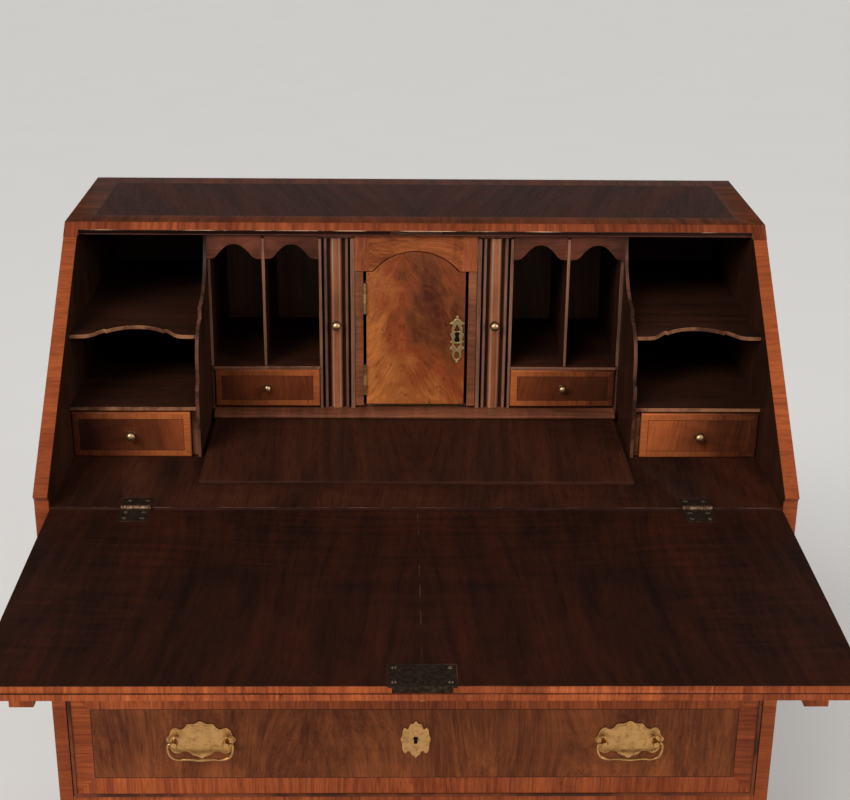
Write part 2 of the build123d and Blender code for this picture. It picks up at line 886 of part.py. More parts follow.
def centre_drawer(left):
    """Drawer under a pair of pigeonholes."""
    x = (centre_inner + small_gap, nest_half - small_gap)
    if left:
        x = mirrored(x)
    z = (nest_floor_top + fit_gap, bed_z + centre_board_rise - small_gap)
    return small_drawer(x, x, z, nest_front, nest_back - nest_wall - small_gap)


def nest_case():
    """Boards of the nest: ends, partitions, floor, top, back and pigeonhole boards."""
    inside_back = nest_back - nest_wall
    pieces = [
        slab((-nest_half, nest_half), (case_front, inside_back), (nest_floor_low, nest_floor_top)),
        slab((-nest_outer, nest_outer), (lid_front, nest_back), (nest_high, nest_top)),
        slab((-nest_half, nest_half), (inside_back, nest_back), (nest_floor_low, nest_high)),
    ]
    for x in sides_of((nest_half, nest_outer)):
        pieces.append(slab(x, (lid_front, nest_back), (bed_z, nest_high)))
    upright_z = (nest_floor_top, nest_high)
    for x in sides_of((column_outer, centre_inner)) + sides_of((cupboard_wall_inner, column_inner)):
        foot = slab(x, (nest_face, case_front), (torus_high + fillet_height + fit_gap, nest_floor_top))
        pieces.append(slab(x, (nest_face, inside_back), upright_z) + foot)
    board_z = (bed_z + centre_board_rise, bed_z + centre_board_rise + centre_board_thickness)
    for x in sides_of((centre_inner, nest_half)):
        pieces.append(slab(x, (nest_front, inside_back), board_z))
    for x in sides_of((pigeon_partition, pigeon_partition + partition_thickness)):
        pieces.append(slab(x, (nest_face, inside_back), (board_z[1], nest_high)))
    return Compound(children=pieces)


def nest_moulding():
    """Torus and fillet along the foot of the nest."""
    torus_front = nest_front - torus_reach
    fillet_front = nest_front - fillet_reach
    nose = torus_front + torus_height / 2
    outline = make_face(
        ThreePointArc((nose, torus_low), (torus_front, (torus_low + torus_high) / 2), (nose, torus_high))
        + Polyline(
            (nose, torus_high),
            (fillet_front, torus_high),
            (fillet_front, torus_high + fillet_height),
            (case_front, torus_high + fillet_height),
            (case_front, torus_low),
            (nose, torus_low),
        )
    )
    x = (-nest_half, nest_half)
    return Pos(x[0], 0, 0) * extrude(Plane.YZ * outline, amount=x[1] - x[0])


def valance_outline(x):
    """Ogee-arched valance of one pigeonhole."""
    top = nest_top
    foot = top - valance_height
    crest = top - valance_crest_height
    middle = (x[0] + x[1]) / 2
    half = (x[1] - x[0]) / 2
    turn = half / 2
    mid_z = (foot + crest) / 2
    lean = (1, 1)
    return make_face(
        Polyline((x[0], foot), (x[0] + valance_land, foot))
        + Spline((x[0] + valance_land, foot), (middle - turn, mid_z), tangents=[(1, 0), lean])
        + Spline((middle - turn, mid_z), (middle, crest), tangents=[lean, (1, 0)])
        + Spline((middle, crest), (middle + turn, mid_z), tangents=[(1, 0), (1, -1)])
        + Spline((middle + turn, mid_z), (x[1] - valance_land, foot), tangents=[(1, -1), (1, 0)])
        + Polyline((x[1] - valance_land, foot), (x[1], foot), (x[1], top), (x[0], top), (x[0], foot))
    )


def valances():
    """Four valances under the top of the nest."""
    y = (nest_face, nest_face + valance_thickness)
    inner = (centre_inner + fit_gap, pigeon_partition - fit_gap)
    outer = (pigeon_partition + partition_thickness + fit_gap, nest_outer)
    made = []
    for x in sides_of(inner) + sides_of(outer):
        made.append(facing(valance_outline(x), y))
    return Compound(children=made)


def column_drawer(left):
    """Tall drawer faced with a half column between two beads."""
    low, high = torus_high + fillet_height + fit_gap, nest_high - fit_gap
    x = (column_inner + column_gap, column_outer - column_gap)
    middle = (x[0] + x[1]) / 2
    plate_y = (nest_face + column_radius, case_front - fit_gap)
    front = slab(x, plate_y, (low, high))
    for start in (middle - bead_place - column_bead, middle + bead_place):
        bead = slab((start, start + column_bead), (plate_y[0] - bead_stand, plate_y[0]), (low, high))
        edges = bead.faces().sort_by(Axis.Y)[0].edges().filter_by(Axis.Z)
        front += fillet(edges, column_bead / 3)
    shaft = Pos(middle, plate_y[0], (low + high) / 2) * Cylinder(column_radius, high - low)
    front += shaft & slab(x, (nest_face - cut_overrun, plate_y[0]), (low, high))
    boards = tray(
        (column_inner + small_gap, column_outer - small_gap),
        (plate_y[1], nest_back - nest_wall - small_gap),
        (nest_floor_top + fit_gap, high - small_edge),
        small_wall,
        small_wall / 2,
        small_wall / 2,
    )
    drawer = Compound(children=[front] + boards)
    return mirror(drawer, about=Plane.YZ) if left else drawer


def arched(half, shoulder, arch_half, crest, low):
    """Outline of a door or its opening: straight jambs, shoulders and a round arch that springs softly."""
    outline = make_face(
        Polyline((arch_half, shoulder), (half, shoulder), (half, low), (-half, low), (-half, shoulder))
        + Line((-half, shoulder), (-arch_half, shoulder))
        + ThreePointArc((-arch_half, shoulder), (0, crest), (arch_half, shoulder))
    )
    springs = [v for v in outline.vertices() if abs(abs(v.X) - arch_half) < fit_gap]
    return fillet(springs, arch_ease)


def surround_y():
    """The two Y values of the cupboard's frieze and door, which fill the nest's front."""
    return (nest_face, case_front - fit_gap)


def cupboard_surround():
    """Arched frieze of the cupboard and the two stiles under it that frame the door."""
    y = surround_y()
    opening = arched(
        stile_inner,
        frieze_low,
        arch_half_width + arch_gap,
        arch_crest,
        frieze_low - cut_overrun,
    )
    frieze = slab((-stile_outer, stile_outer), y, (frieze_low, nest_top))
    frieze -= facing(opening, (y[0] - cut_overrun, y[1] + cut_overrun))
    lid_room = (lid_front - fit_gap, y[1] + cut_overrun)
    frieze -= slab((-stile_outer, stile_outer), lid_room, (nest_high - fit_gap, nest_top + cut_overrun))
    pieces = [frieze]
    for x in sides_of((stile_inner, stile_outer)):
        pieces.append(slab(x, (y[0] + stile_set_back, y[1]), (nest_floor_top, frieze_low)))
    return Compound(children=pieces)


def cupboard_door():
    """Arched door."""
    y = surround_y()
    shoulder = frieze_low - arch_gap
    outline = arched(door_half_width, shoulder, arch_half_width, arch_crest - arch_gap, door_low)
    return facing(outline, (y[0], y[0] + door_thickness))


def door_pin():
    """X and Y of the line that the cupboard door swings on."""
    y = surround_y()[0] - door_knuckle_radius - door_knuckle_gap
    return (-(stile_inner + door_half_width) / 2, y)


def door_hinge(door_side):
    """The leaves of the door's two butt hinges: those on the door, or those on the stile."""
    face = surround_y()[0]
    pin_x, pin_y = door_pin()
    length = door_hinge_length / 3
    x = (-door_half_width - door_leaf, -door_half_width)
    if not door_side:
        x = (-stile_inner, door_leaf - stile_inner)
    pieces = []
    for middle in (door_low + door_hinge_low_inset, frieze_low - door_hinge_high_inset):
        low = middle - door_hinge_length / 2
        leaf = slab(x, (face, face + door_leaf_depth), (low, low + door_hinge_length))
        for number in (1,) if door_side else (0, 2):
            start = low + number * length + knuckle_gap / 2
            end = start + length - knuckle_gap
            barrel = Cylinder(door_knuckle_radius, end - start)
            leaf += slab(x, (pin_y, face), (start, end))
            leaf += Pos(pin_x, pin_y, (start + end) / 2) * barrel
        pieces.append(leaf)
    return pieces


def oval(half_width, half_height):
    """An oval of straight facets."""
    turns = [2 * pi * number / oval_facets for number in range(oval_facets)]
    points = [(half_width * cos(turn), half_height * sin(turn)) for turn in turns]
    return make_face(Polyline(*points, close=True))


def pierced_plate(width, height):
    """Outline of the pierced keyhole plate, its keyhole's eye at the origin."""
    half = width / 2
    foot = -height * plate_eye_share
    outline = oval(half * 7 / 8, height / 7)
    for z_share, x_share, size_share in plate_lobe_shares:
        lobe = oval(half * x_share, height * size_share)
        outline += Pos(0, foot + height * z_share) * lobe
    for z_share, reach_share, size_share in plate_horn_shares:
        z = foot + height * z_share
        drop = height * size_share
        points = [(half * reach_share, z + drop), (0, z + drop / 3), (-half * reach_share, z + drop)]
        outline += make_face(Polyline(*points, (0, z - drop), close=True))
    for z_share, x_share, size_share in plate_hole_shares:
        outline -= Pos(0, foot + height * z_share) * oval(half * x_share, height * size_share)
    apex = foot + height * plate_apex_share
    base = apex - height / 11
    outline -= make_face(Polyline((0, apex), (half / 4, base), (-half / 4, base), close=True))
    return outline


def door_brass():
    """Brass on the door: its hinge leaves and the pierced keyhole plate."""
    y = surround_y()[0]
    x = door_half_width - door_plate_inset
    z = between(door_low, frieze_low, door_plate_share)
    plate = facing(
        Pos(x, z) * pierced_plate(door_plate_width, door_plate_height), (y - door_plate_thickness, y)
    )
    cut_y = (y - door_plate_thickness - cut_overrun, y + cut_overrun)
    plate -= facing(Pos(x, z) * RegularPolygon(door_keyhole_radius, oval_facets), cut_y)
    slot = Rectangle(door_keyhole_radius, door_keyhole_slot)
    plate -= facing(Pos(x, z - door_keyhole_slot / 2) * slot, cut_y)
    return Compound(children=door_hinge(True) + [plate])


def small_knobs():
    """Every small knob, by node name."""
    wing_x = (wing_drawer_inner + inner_half) / 2
    centre_x = (centre_inner + nest_half) / 2
    centre_z = (nest_floor_top + bed_z + centre_board_rise) / 2
    column_z = between(torus_high + fillet_height, nest_high, column_knob_share)
    column_x = (column_inner + column_outer) / 2
    loper_x = (loper_inner + loper_outer) / 2
    loper_z = (loper_low + loper_high) / 2
    made = {}
    for name, sign in (("left", -1), ("right", 1)):
        made[f"wing_knob_{name}"] = knob(sign * wing_x, wing_front, bed_z + wing_knob_rise, 1)
        made[f"centre_knob_{name}"] = knob(
            sign * centre_x, nest_front, centre_z, centre_knob_scale_share
        )
        made[f"column_knob_{name}"] = knob(sign * column_x, nest_face, column_z, 1)
        made[f"loper_knob_{name}"] = knob(sign * loper_x, -loper_travel, loper_z, 1)
    return made


def case_drawers():
    """Main drawers, their brasses and their bails, by node name."""
    half = muntin_width / 2
    short_z = (short_low, short_high)
    rows = {
        "short_drawer_left": ((-inner_half, -half), short_z, 1),
        "short_drawer_right": ((half, inner_half), short_z, 1),
        "upper_drawer": ((-inner_half, inner_half), (upper_low, upper_high), 2),
        "lower_drawer": ((-inner_half, inner_half), (lower_low, lower_high), 2),
    }
    made = {}
    for name, (x, z, count) in rows.items():
        made[name] = case_drawer(x, z)
        made[f"{name}_brasses"] = drawer_brasses(x, z, count)
        endings = ("",) if count == 1 else ("_left", "_right")
        for middle, ending in zip(handle_places(x, count), endings):
            made[f"{name}_bail{ending}"] = bail(middle, handle_height(z))
    return made


def all_pieces():
    """Every node of the bureau, by name."""
    made = {
        "side_left": side((-half_width, -inner_half)),
        "side_right": side((inner_half, half_width)),
        "top_board": top_board(),
        "back_boards": back_boards(),
        "bed_board": bed_board(),
        "frieze_panel": frieze_panel(),
        "drawer_rails": drawer_rails(),
        "dust_boards": dust_boards(),
        "bottom_board": bottom_board(),
        "loper_guides": loper_guides(),
        "well_box": well_box(),
        "base_moulding": base_moulding(),
        "bracket_feet": bracket_feet(),
        "wing_dividers": wing_dividers(),
        "wing_shelves": wing_shelves(),
        "nest_case": nest_case(),
        "nest_moulding": nest_moulding(),
        "valances": valances(),
        "cupboard_surround": cupboard_surround(),
        "bed_hinge_leaves": hinge_half(True),
        "strike_plate": strike_plate(),
        "door_frame_leaves": Compound(children=door_hinge(False)),
        "fall_board": drooped(fall_board()),
        "fall_hinge_leaves": drooped(hinge_half(False)),
        "fall_lock": drooped(fall_lock()),
        "fall_escutcheon": drooped(fall_escutcheon()),
        "loper_left": loper((-loper_outer, -loper_inner)),
        "loper_right": loper((loper_inner, loper_outer)),
        "well_cover": well_cover(),
        "wing_drawer_left": wing_drawer(True),
        "wing_drawer_right": wing_drawer(False),
        "centre_drawer_left": centre_drawer(True),
        "centre_drawer_right": centre_drawer(False),
        "column_drawer_left": column_drawer(True),
        "column_drawer_right": column_drawer(False),
        "cupboard_door": cupboard_door(),
        "door_brass": door_brass(),
    }
    made.update(small_knobs())
    made.update(case_drawers())
    return made


def main():
    """Build every piece, set the origin and write one file per node."""
    os.makedirs("parts", exist_ok=True)
    pieces = all_pieces()
    whole = Compound(children=list(pieces.values())).bounding_box()
    shift = Pos(-whole.center().X, -whole.center().Y, -whole.min.Z)
    for name, piece in pieces.items():
        solids = [shift * solid for solid in piece.solids()]
        shape = solids[0] if len(solids) == 1 else Compound(children=solids)
        export_step(shape, f"parts/{name}.step")


main()
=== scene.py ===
import json
import math

import bmesh
import bpy
from mathutils import Matrix, Vector

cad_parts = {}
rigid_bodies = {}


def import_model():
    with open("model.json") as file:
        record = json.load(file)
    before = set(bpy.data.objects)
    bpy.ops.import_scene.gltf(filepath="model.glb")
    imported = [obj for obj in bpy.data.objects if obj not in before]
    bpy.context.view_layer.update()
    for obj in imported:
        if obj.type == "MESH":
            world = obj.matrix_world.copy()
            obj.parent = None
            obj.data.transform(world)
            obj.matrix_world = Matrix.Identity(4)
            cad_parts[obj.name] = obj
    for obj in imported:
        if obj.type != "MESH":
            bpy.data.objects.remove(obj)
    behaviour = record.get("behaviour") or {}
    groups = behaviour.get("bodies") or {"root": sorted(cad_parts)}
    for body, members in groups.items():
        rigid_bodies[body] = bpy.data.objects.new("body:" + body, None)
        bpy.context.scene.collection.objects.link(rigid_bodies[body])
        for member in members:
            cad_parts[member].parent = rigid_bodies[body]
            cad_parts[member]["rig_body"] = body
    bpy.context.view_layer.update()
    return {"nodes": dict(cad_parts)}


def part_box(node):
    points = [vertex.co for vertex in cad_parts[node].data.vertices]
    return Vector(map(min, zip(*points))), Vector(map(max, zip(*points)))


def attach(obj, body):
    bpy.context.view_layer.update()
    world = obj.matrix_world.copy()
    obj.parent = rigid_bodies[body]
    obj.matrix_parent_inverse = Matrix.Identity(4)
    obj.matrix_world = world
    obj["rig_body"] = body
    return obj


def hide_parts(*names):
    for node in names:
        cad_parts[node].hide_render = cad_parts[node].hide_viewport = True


bl_info = {
    "name": "Writing Bureau",
    "version": (1, 0, 0),
    "blender": (4, 5, 0),
    "location": "View3D > Sidebar > Bureau",
    "description": "Finishes a slant-front walnut writing bureau piece by piece over its measured frame",
    "category": "Object",
}

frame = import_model()
BODY_OF = {node: obj["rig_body"] for node, obj in frame["nodes"].items()}

# Sideways, outward and upward, as seen by someone in front of the bureau.
SIDE, OUT, RISE = Vector((1.0, 0.0, 0.0)), Vector((0.0, -1.0, 0.0)), Vector((0.0, 0.0, 1.0))
# Directions in which a board's grain can run, as turns that bring it onto Z.
GRAIN_TURN = {
    "x": (0.0, math.radians(90.0), 0.0),
    "y": (math.radians(90.0), 0.0, 0.0),
    "z": (0.0, 0.0, 0.0),
}
# Corners sharper than this are rounded and shaded as corners, in degrees.
CORNER = 32.0
# The open fall droops by this angle onto its bars.
DROOP = math.radians(1.6)
# How much of a veneer's tone follows its painted light, which rises from its shaded to its lit side.
PAINTED_LIGHT_SHARE = 0.3


def colour(red, green, blue):
    """A display colour of 0 to 255 a channel as the linear colour that the shaders take."""
    channels = []
    for level in (red, green, blue):
        share = level / 255.0
        channels.append(share / 12.92 if share <= 0.04045 else ((share + 0.055) / 1.055) ** 2.4)
    return (*channels, 1.0)


def tone(name, description, default):
    """A colour property."""
    return bpy.props.FloatVectorProperty(
        name=name, description=description, subtype="COLOR", size=4, min=0.0, max=1.0, default=default
    )


def length(name, description, default):
    """A length property in metres."""
    return bpy.props.FloatProperty(
        name=name, description=description, unit="LENGTH", subtype="DISTANCE", min=0.0, default=default
    )


class BureauTones(bpy.types.PropertyGroup):
    """Colours of the woods and metals."""

    band_light: tone("Band light", "Light figure of the cross-grained edge banding", colour(186, 96, 48))
    band_dark: tone("Band dark", "Dark figure of the cross-grained edge banding", colour(116, 52, 26))
    case_light: tone("Case light", "Light figure of the outside veneer", colour(152, 84, 44))
    case_dark: tone("Case dark", "Dark figure of the outside veneer", colour(78, 38, 22))
    top_light: tone("Top light", "Light figure of the top", colour(72, 37, 26))
    top_dark: tone("Top dark", "Dark figure of the top", colour(32, 17, 13))
    inside_light: tone("Inside light", "Light figure of the inside boards", colour(66, 36, 22))
    inside_dark: tone("Inside dark", "Dark figure of the inside boards", colour(28, 16, 11))
    fall_light: tone("Fall light", "Light figure of the fall's inside", colour(56, 26, 15))
    fall_dark: tone("Fall dark", "Dark figure of the fall's inside", colour(20, 11, 8))
    burr_light: tone("Burr light", "Light clouds of the burr door", colour(194, 112, 54))
    burr_dark: tone("Burr dark", "Dark clouds of the burr door", colour(78, 34, 20))
    brass: tone("Brass", "Aged brass of knobs and plates", colour(200, 166, 124))
    tarnish: tone("Tarnish", "Dark film in the hollows of the brass", colour(78, 54, 34))
    stage_floor: tone("Floor", "Pale floor under the bureau", colour(238, 236, 233))


class BureauSizes(bpy.types.PropertyGroup):
    """Small sizes that the finish adds to the measured boards."""

    arris: length("Arris", "Width of the worn corner along a board", 0.0006)
    heavy_arris: length("Heavy arris", "Width of the worn corner along the case's outer edges", 0.0012)
    drawer_band: length("Drawer banding", "Width of the crossbanding round a small drawer", 0.0068)
    case_drawer_band: length("Large drawer banding", "Width of the crossbanding on a main drawer", 0.024)
    stringing: length("Stringing", "Width of the dark line inside a crossbanding", 0.0009)
    top_band: length("Top banding", "Width of the crossbanding round the top", 0.034)
    screw_radius: length("Screw head", "Radius of the hinge and lock screws", 0.0031)
    pin_radius: length("Pin head", "Radius of the pins in the keyhole plates", 0.0011)
    nail_radius: length("Nail head", "Radius of the nails in the back boards", 0.0024)
    band_piece: length("Banding piece", "Length of one piece of crossbanding", 0.118)


def tones():
    """The scene's colours."""
    return bpy.context.scene.bureau_tones


def sizes():
    """The scene's small sizes."""
    return bpy.context.scene.bureau_sizes


def fill(tree, socket, value):
    """Links an output to an input, or sets the input to a value."""
    if isinstance(value, bpy.types.NodeSocket):
        tree.links.new(value, socket)
    else:
        socket.default_value = value


def add_node(tree, kind, *values, **settings):
    """A node with its settings and some inputs filled in by name, and its first inputs in order."""
    node = tree.nodes.new(kind)
    for key, value in settings.items():
        if key in node.inputs:
            fill(tree, node.inputs[key], value)
        else:
            setattr(node, key, value)
    for socket, value in zip(node.inputs, values):
        fill(tree, socket, value)
    return node


def between(first, second, share):
    """A colour part of the way between two others."""
    return tuple(a + (b - a) * share for a, b in zip(first, second))


class Finish:
    """A material in the making: its nodes, its surface shader and the coordinates of its piece."""

    def __init__(self, name):
        self.material = bpy.data.materials.new(name)
        self.material.use_nodes = True
        self.tree = self.material.node_tree
        self.tree.nodes.clear()
        self.shader = self.node("ShaderNodeBsdfPrincipled")
        self.node("ShaderNodeOutputMaterial", Surface=self.shader.outputs["BSDF"])
        self.place = self.node("ShaderNodeTexCoord").outputs["Object"]

    def node(self, kind, *values, **settings):
        """A node of this material."""
        return add_node(self.tree, kind, *values, **settings)

    def maths(self, operation, *values):
        """The result of one maths node; each value is a number or an output."""
        return self.node("ShaderNodeMath", *values, operation=operation).outputs[0]

    def vectors(self, operation, *values, output="Vector"):
        """The result of one vector maths node."""
        return self.node("ShaderNodeVectorMath", *values, operation=operation).outputs[output]

    def axis(self, name):
        """One of the piece's coordinates."""
        return self.node("ShaderNodeSeparateXYZ", self.place).outputs[name.upper()]

    def turned(self, place, turn=(0.0, 0.0, 0.0), shift=(0.0, 0.0, 0.0)):
        """Coordinates turned and shifted."""
        return self.node("ShaderNodeMapping", Vector=place, Rotation=turn, Location=shift).outputs["Vector"]

    def noise(self, place, scale, detail=2.0, roughness=0.5, distortion=0.0, output="Fac"):
        """A noise pattern on coordinates stretched by a different amount along each axis."""
        look = dict(Scale=1.0, Detail=detail, Roughness=roughness, Distortion=distortion)
        stretched = self.vectors("MULTIPLY", place, scale)
        return self.node("ShaderNodeTexNoise", Vector=stretched, **look).outputs[output]

    def combined(self, *parts):
        """The sum of outputs, each times its own share."""
        total = 0.0
        for output, share in parts:
            total = self.maths("MULTIPLY_ADD", output, share, total)
        return total

    def mapped(self, value, low, high, to_low, to_high):
        """A value moved from one range to another and held inside it."""
        node = self.node("ShaderNodeMapRange", value, low, high, to_low, to_high, clamp=True)
        return node.outputs["Result"]

    def ramp(self, value, *stops):
        """A colour ramp with the given stops."""
        node = self.node("ShaderNodeValToRGB", value)
        points = node.color_ramp.elements
        while len(points) < len(stops):
            points.new(0.5)
        for point, (place, shade) in zip(points, stops):
            point.position = place
            point.color = shade
        return node.outputs["Color"]

    def mixed(self, blend, share, first, second):
        """Two colours mixed; share is a number or an output."""
        node = self.node("ShaderNodeMix", share, data_type="RGBA", blend_type=blend)
        fill(self.tree, node.inputs[6], first)
        fill(self.tree, node.inputs[7], second)
        return node.outputs[2]

    def jointed(self, tint, run, piece, joint):
        """A banding laid in short pieces: each has its own tone, with a fine dark joint between two."""
        number = self.maths("DIVIDE", self.axis(run), piece)
        lot = self.node("ShaderNodeTexWhiteNoise", noise_dimensions="1D", W=self.maths("FLOOR", number))
        tint = self.mixed("MULTIPLY", self.mapped(lot.outputs["Value"], 0.0, 1.0, 0.0, 0.34), tint, joint)
        edge = self.maths("LESS_THAN", self.maths("FRACT", number), 0.0007 / piece)
        return self.mixed("MIX", self.maths("MULTIPLY", edge, 0.7), tint, joint)

    def folded(self, line=0.0):
        """Coordinates mirrored about an upright line, as in two leaves of veneer laid open like a book."""
        return self.vectors("ABSOLUTE", self.turned(self.place, shift=(-line, 0.0, 0.0)))

    def flowing(self, along, amount):
        """Coordinates that wander sideways slowly, so that the grain bends as it runs."""
        drift = self.noise(along, (5.0, 5.0, 2.6), 1.0, output="Color")
        centred = self.vectors("SUBTRACT", drift, (0.5, 0.5, 0.5))
        sway = self.vectors("MULTIPLY", centred, (amount * 4.0, amount * 4.0, amount))
        return self.vectors("ADD", along, sway)

    def seam_line(self, strength):
        """The fine, broken line where two leaves of veneer meet in the middle."""
        line = self.mapped(self.maths("ABSOLUTE", self.axis("x")), 0.0002, 0.0007, strength, 0.0)
        broken = self.mapped(self.noise(self.place, (3.0, 34.0, 3.0), 3.0, 0.6), 0.48, 0.62, 0.0, 1.0)
        return self.maths("MULTIPLY", line, broken)

    def rubbed_sides(self, clouds, middle, offset, reach):
        """Painted highlights: two upright lines, one on each side of a round's middle."""
        away = self.maths("ABSOLUTE", self.maths("SUBTRACT", self.axis("x"), middle))
        from_line = self.maths("ABSOLUTE", self.maths("SUBTRACT", away, offset))
        line = self.mapped(from_line, 0.0, reach, 0.75, 0.0)
        return self.maths("MULTIPLY", line, self.mapped(clouds, 0.3, 0.6, 0.4, 1.0))

    def lit_side(self, middle, direction, reach):
        """Painted light: a value that rises from 0 to 1 across a piece, from its shaded side to its lit side.
        """
        centred = self.turned(self.place, shift=tuple(-part for part in middle))
        side = self.vectors("DOT_PRODUCT", centred, direction, output="Value")
        return self.mapped(side, -reach, reach, 0.0, 1.0)

    def surface(self, tint, rough, shine=0.5, relief=None, strength=0.2, depth=0.0002):
        """Gives the shader its colour, roughness, shine and relief, and returns the material."""
        values = {"Base Color": tint, "Roughness": rough, "Specular IOR Level": shine}
        if relief is not None:
            bump = self.node("ShaderNodeBump", Strength=strength, Distance=depth, Height=relief)
            values["Normal"] = bump.outputs["Normal"]
        for key, value in values.items():
            fill(self.tree, self.shader.inputs[key], value)
        return self.material


def walnut(
    name, light, dark, curl, cloud, polish, grain, offset=0.0, run=None, streak=1.0, shine=0.14,
    matched=False, lean=None, pores=0.4, lit=None, fine=0.2, spread=0.16, flow=0.012, rubbed=None, seam=0.0,
):
    """Walnut whose grain runs along one axis of the piece, plain or curly, matched about the middle or
    laid in short pieces."""
    look = Finish(name)
    along = look.folded() if matched else look.place
    if lean is not None:
        along = look.turned(along, tuple(math.radians(part) for part in lean))
    along = look.turned(along, GRAIN_TURN[grain], (offset, offset * 0.7, offset * 1.3))
    along = look.flowing(along, flow)
    bands = look.noise(along, (24.0 * streak, 24.0 * streak, 1.7), 6.0, 0.66, 0.9)
    lines = look.noise(along, (190.0 * streak, 190.0 * streak, 4.0), 3.0, 0.6, 0.4)
    clouds = look.noise(along, (8.0, 8.0, 4.5), 3.0, 0.55, 0.8)
    ripple = look.noise(along, (11.0, 11.0, 120.0), 2.0, 0.5, 0.5)
    patch = look.mapped(look.noise(along, (5.0, 5.0, 5.0), 1.0), 0.42, 0.6, 0.15, 1.5)
    ripple = look.maths("MULTIPLY_ADD", look.maths("SUBTRACT", ripple, 0.5), patch, 0.5)
    fibre = look.noise(along, (800.0, 800.0, 30.0))
    shares = (1.0 - fine - cloud - curl * 0.5, fine, cloud, curl * 0.5)
    figure = look.combined(*zip((bands, lines, clouds, ripple), shares))
    # Painted light and shade: part of the tone follows a drift from the piece's shaded to its lit side.
    if lit is not None:
        figure = look.combined((figure, 1.0 - PAINTED_LIGHT_SHARE), (look.lit_side(*lit), PAINTED_LIGHT_SHARE))
    tint = look.ramp(
        figure,
        (0.5 - spread, between(dark, light, -0.04)),
        (0.5 - spread * 0.38, between(dark, light, 0.22)),
        (0.5 + spread * 0.18, between(dark, light, 0.52)),
        (0.5 + spread, light),
    )
    tint = look.mixed("MULTIPLY", look.mapped(fibre, 0.52, 0.7, 0.0, pores), tint, between(dark, light, 0.2))
    # Painted highlights in a pale colour, where the sides of a round would catch the lamps.
    if rubbed is not None:
        tint = look.mixed("MIX", look.rubbed_sides(clouds, *rubbed), tint, (0.5, 0.29, 0.19, 1.0))
    if seam:
        tint = look.mixed("MIX", look.seam_line(seam), tint, (0.16, 0.085, 0.05, 1.0))
    if run is not None:
        tint = look.jointed(tint, run, sizes().band_piece, between(dark, light, 0.05))
    rough = look.mapped(look.combined((fibre, 0.5), (clouds, 0.5)), 0.35, 0.68, polish, polish + 0.16)
    return look.surface(tint, rough, shine, look.combined((fibre, -0.7), (lines, 0.5)))


def burr(name, light, dark, middle, offset, polish):
    """Burr walnut: broad soft clouds with painted light towards the lower left, fine veins and small eyes."""
    look = Finish(name)
    leaves = look.folded(middle[0] - 0.0186)
    along = look.turned(leaves, (0.0, math.radians(30.0), 0.0), (offset, 0.0, -offset))
    along = look.flowing(along, 0.012)
    clouds = look.noise(look.place, (27.0, 27.0, 21.0), 3.0, 0.5, 0.7)
    swirl = look.noise(along, (58.0, 58.0, 20.0), 6.0, 0.64, 1.5)
    fibre = look.noise(along, (420.0, 420.0, 44.0), 4.0, 0.65, 1.2)
    # Painted light: the tone rises towards the door's lower left.
    painted_light_drift = look.lit_side(middle, (-0.97, 0.0, -0.24), 0.08)
    heart = look.turned(look.place, shift=(-middle[0] - 0.014, -middle[1], -middle[2] - 0.03))
    away = look.vectors("LENGTH", look.vectors("MULTIPLY", heart, (16.0, 0.0, 9.0)), output="Value")
    rim = look.mapped(away, 0.25, 1.15, 0.0, 1.0)
    red = between(between(dark, light, 0.3), colour(150, 58, 30), 0.5)
    tint = look.ramp(
        look.combined((clouds, 0.3), (swirl, 0.26), (fibre, 0.1), (painted_light_drift, 0.18), (rim, 0.16)),
        (0.36, dark),
        (0.45, between(dark, light, 0.2)),
        (0.52, red),
        (0.6, between(dark, light, 0.55)),
        (0.72, light),
    )
    ridge = look.maths("ABSOLUTE", look.maths("SUBTRACT", swirl, 0.5))
    eyes = look.node("ShaderNodeTexVoronoi", Scale=1.0, Randomness=1.0)
    fill(look.tree, eyes.inputs["Vector"], look.vectors("MULTIPLY", look.place, (95.0, 95.0, 70.0)))
    lot = look.node("ShaderNodeSeparateColor", eyes.outputs["Color"]).outputs["Red"]
    few = look.maths("GREATER_THAN", lot, 0.72)
    eye = look.maths("MULTIPLY", look.mapped(eyes.outputs["Distance"], 0.02, 0.2, 0.8, 0.0), few)
    for share, depth in (
        (look.mapped(ridge, 0.0, 0.01, 0.5, 0.0), 0.3),
        (look.mapped(fibre, 0.5, 0.68, 0.0, 0.6), 0.25),
        (eye, 0.02),
    ):
        tint = look.mixed("MULTIPLY", share, tint, between(dark, light, depth))
    return look.surface(tint, look.mapped(swirl, 0.3, 0.7, polish, polish + 0.12), 0.2, fibre, 0.12)


def worn_edge_with_sheen(name, bright, deep, low):
    """The rubbed corner of a board: dark wood with broken light patches, partly wear and partly painted
    highlights.
    """
    look = Finish(name)
    broad = look.noise(look.place, (19.0, 19.0, 19.0))
    fine = look.noise(look.place, (170.0, 170.0, 170.0), 3.0, 0.55)
    share = look.mapped(look.combined((broad, 0.8), (fine, 0.2)), low, low + 0.14, 0.0, 1.0)
    tint = look.mixed("MIX", share, deep, bright)
    return look.surface(tint, look.mapped(fine, 0.3, 0.7, 0.34, 0.52), 0.16)


def aged_metal(name, bright, film, rough, film_share, low, size=230.0):
    """Handled metal: bright where it is rubbed, filmed and spotted elsewhere."""
    look = Finish(name)
    cover = look.noise(look.place, (size, size, size), 4.0, 0.6, 0.5)
    spots = look.noise(look.place, (size * 4.8, size * 4.8, size * 4.8))
    amount = look.combined((cover, 0.75), (spots, 0.25))
    tint = look.mixed("MIX", look.mapped(amount, low, low + 0.22, 0.0, film_share), bright, film)
    look.shader.inputs["Metallic"].default_value = 1.0
    roughness = look.mapped(amount, 0.35, 0.65, rough, rough + 0.24)
    return look.surface(tint, roughness, relief=amount, depth=0.00015)


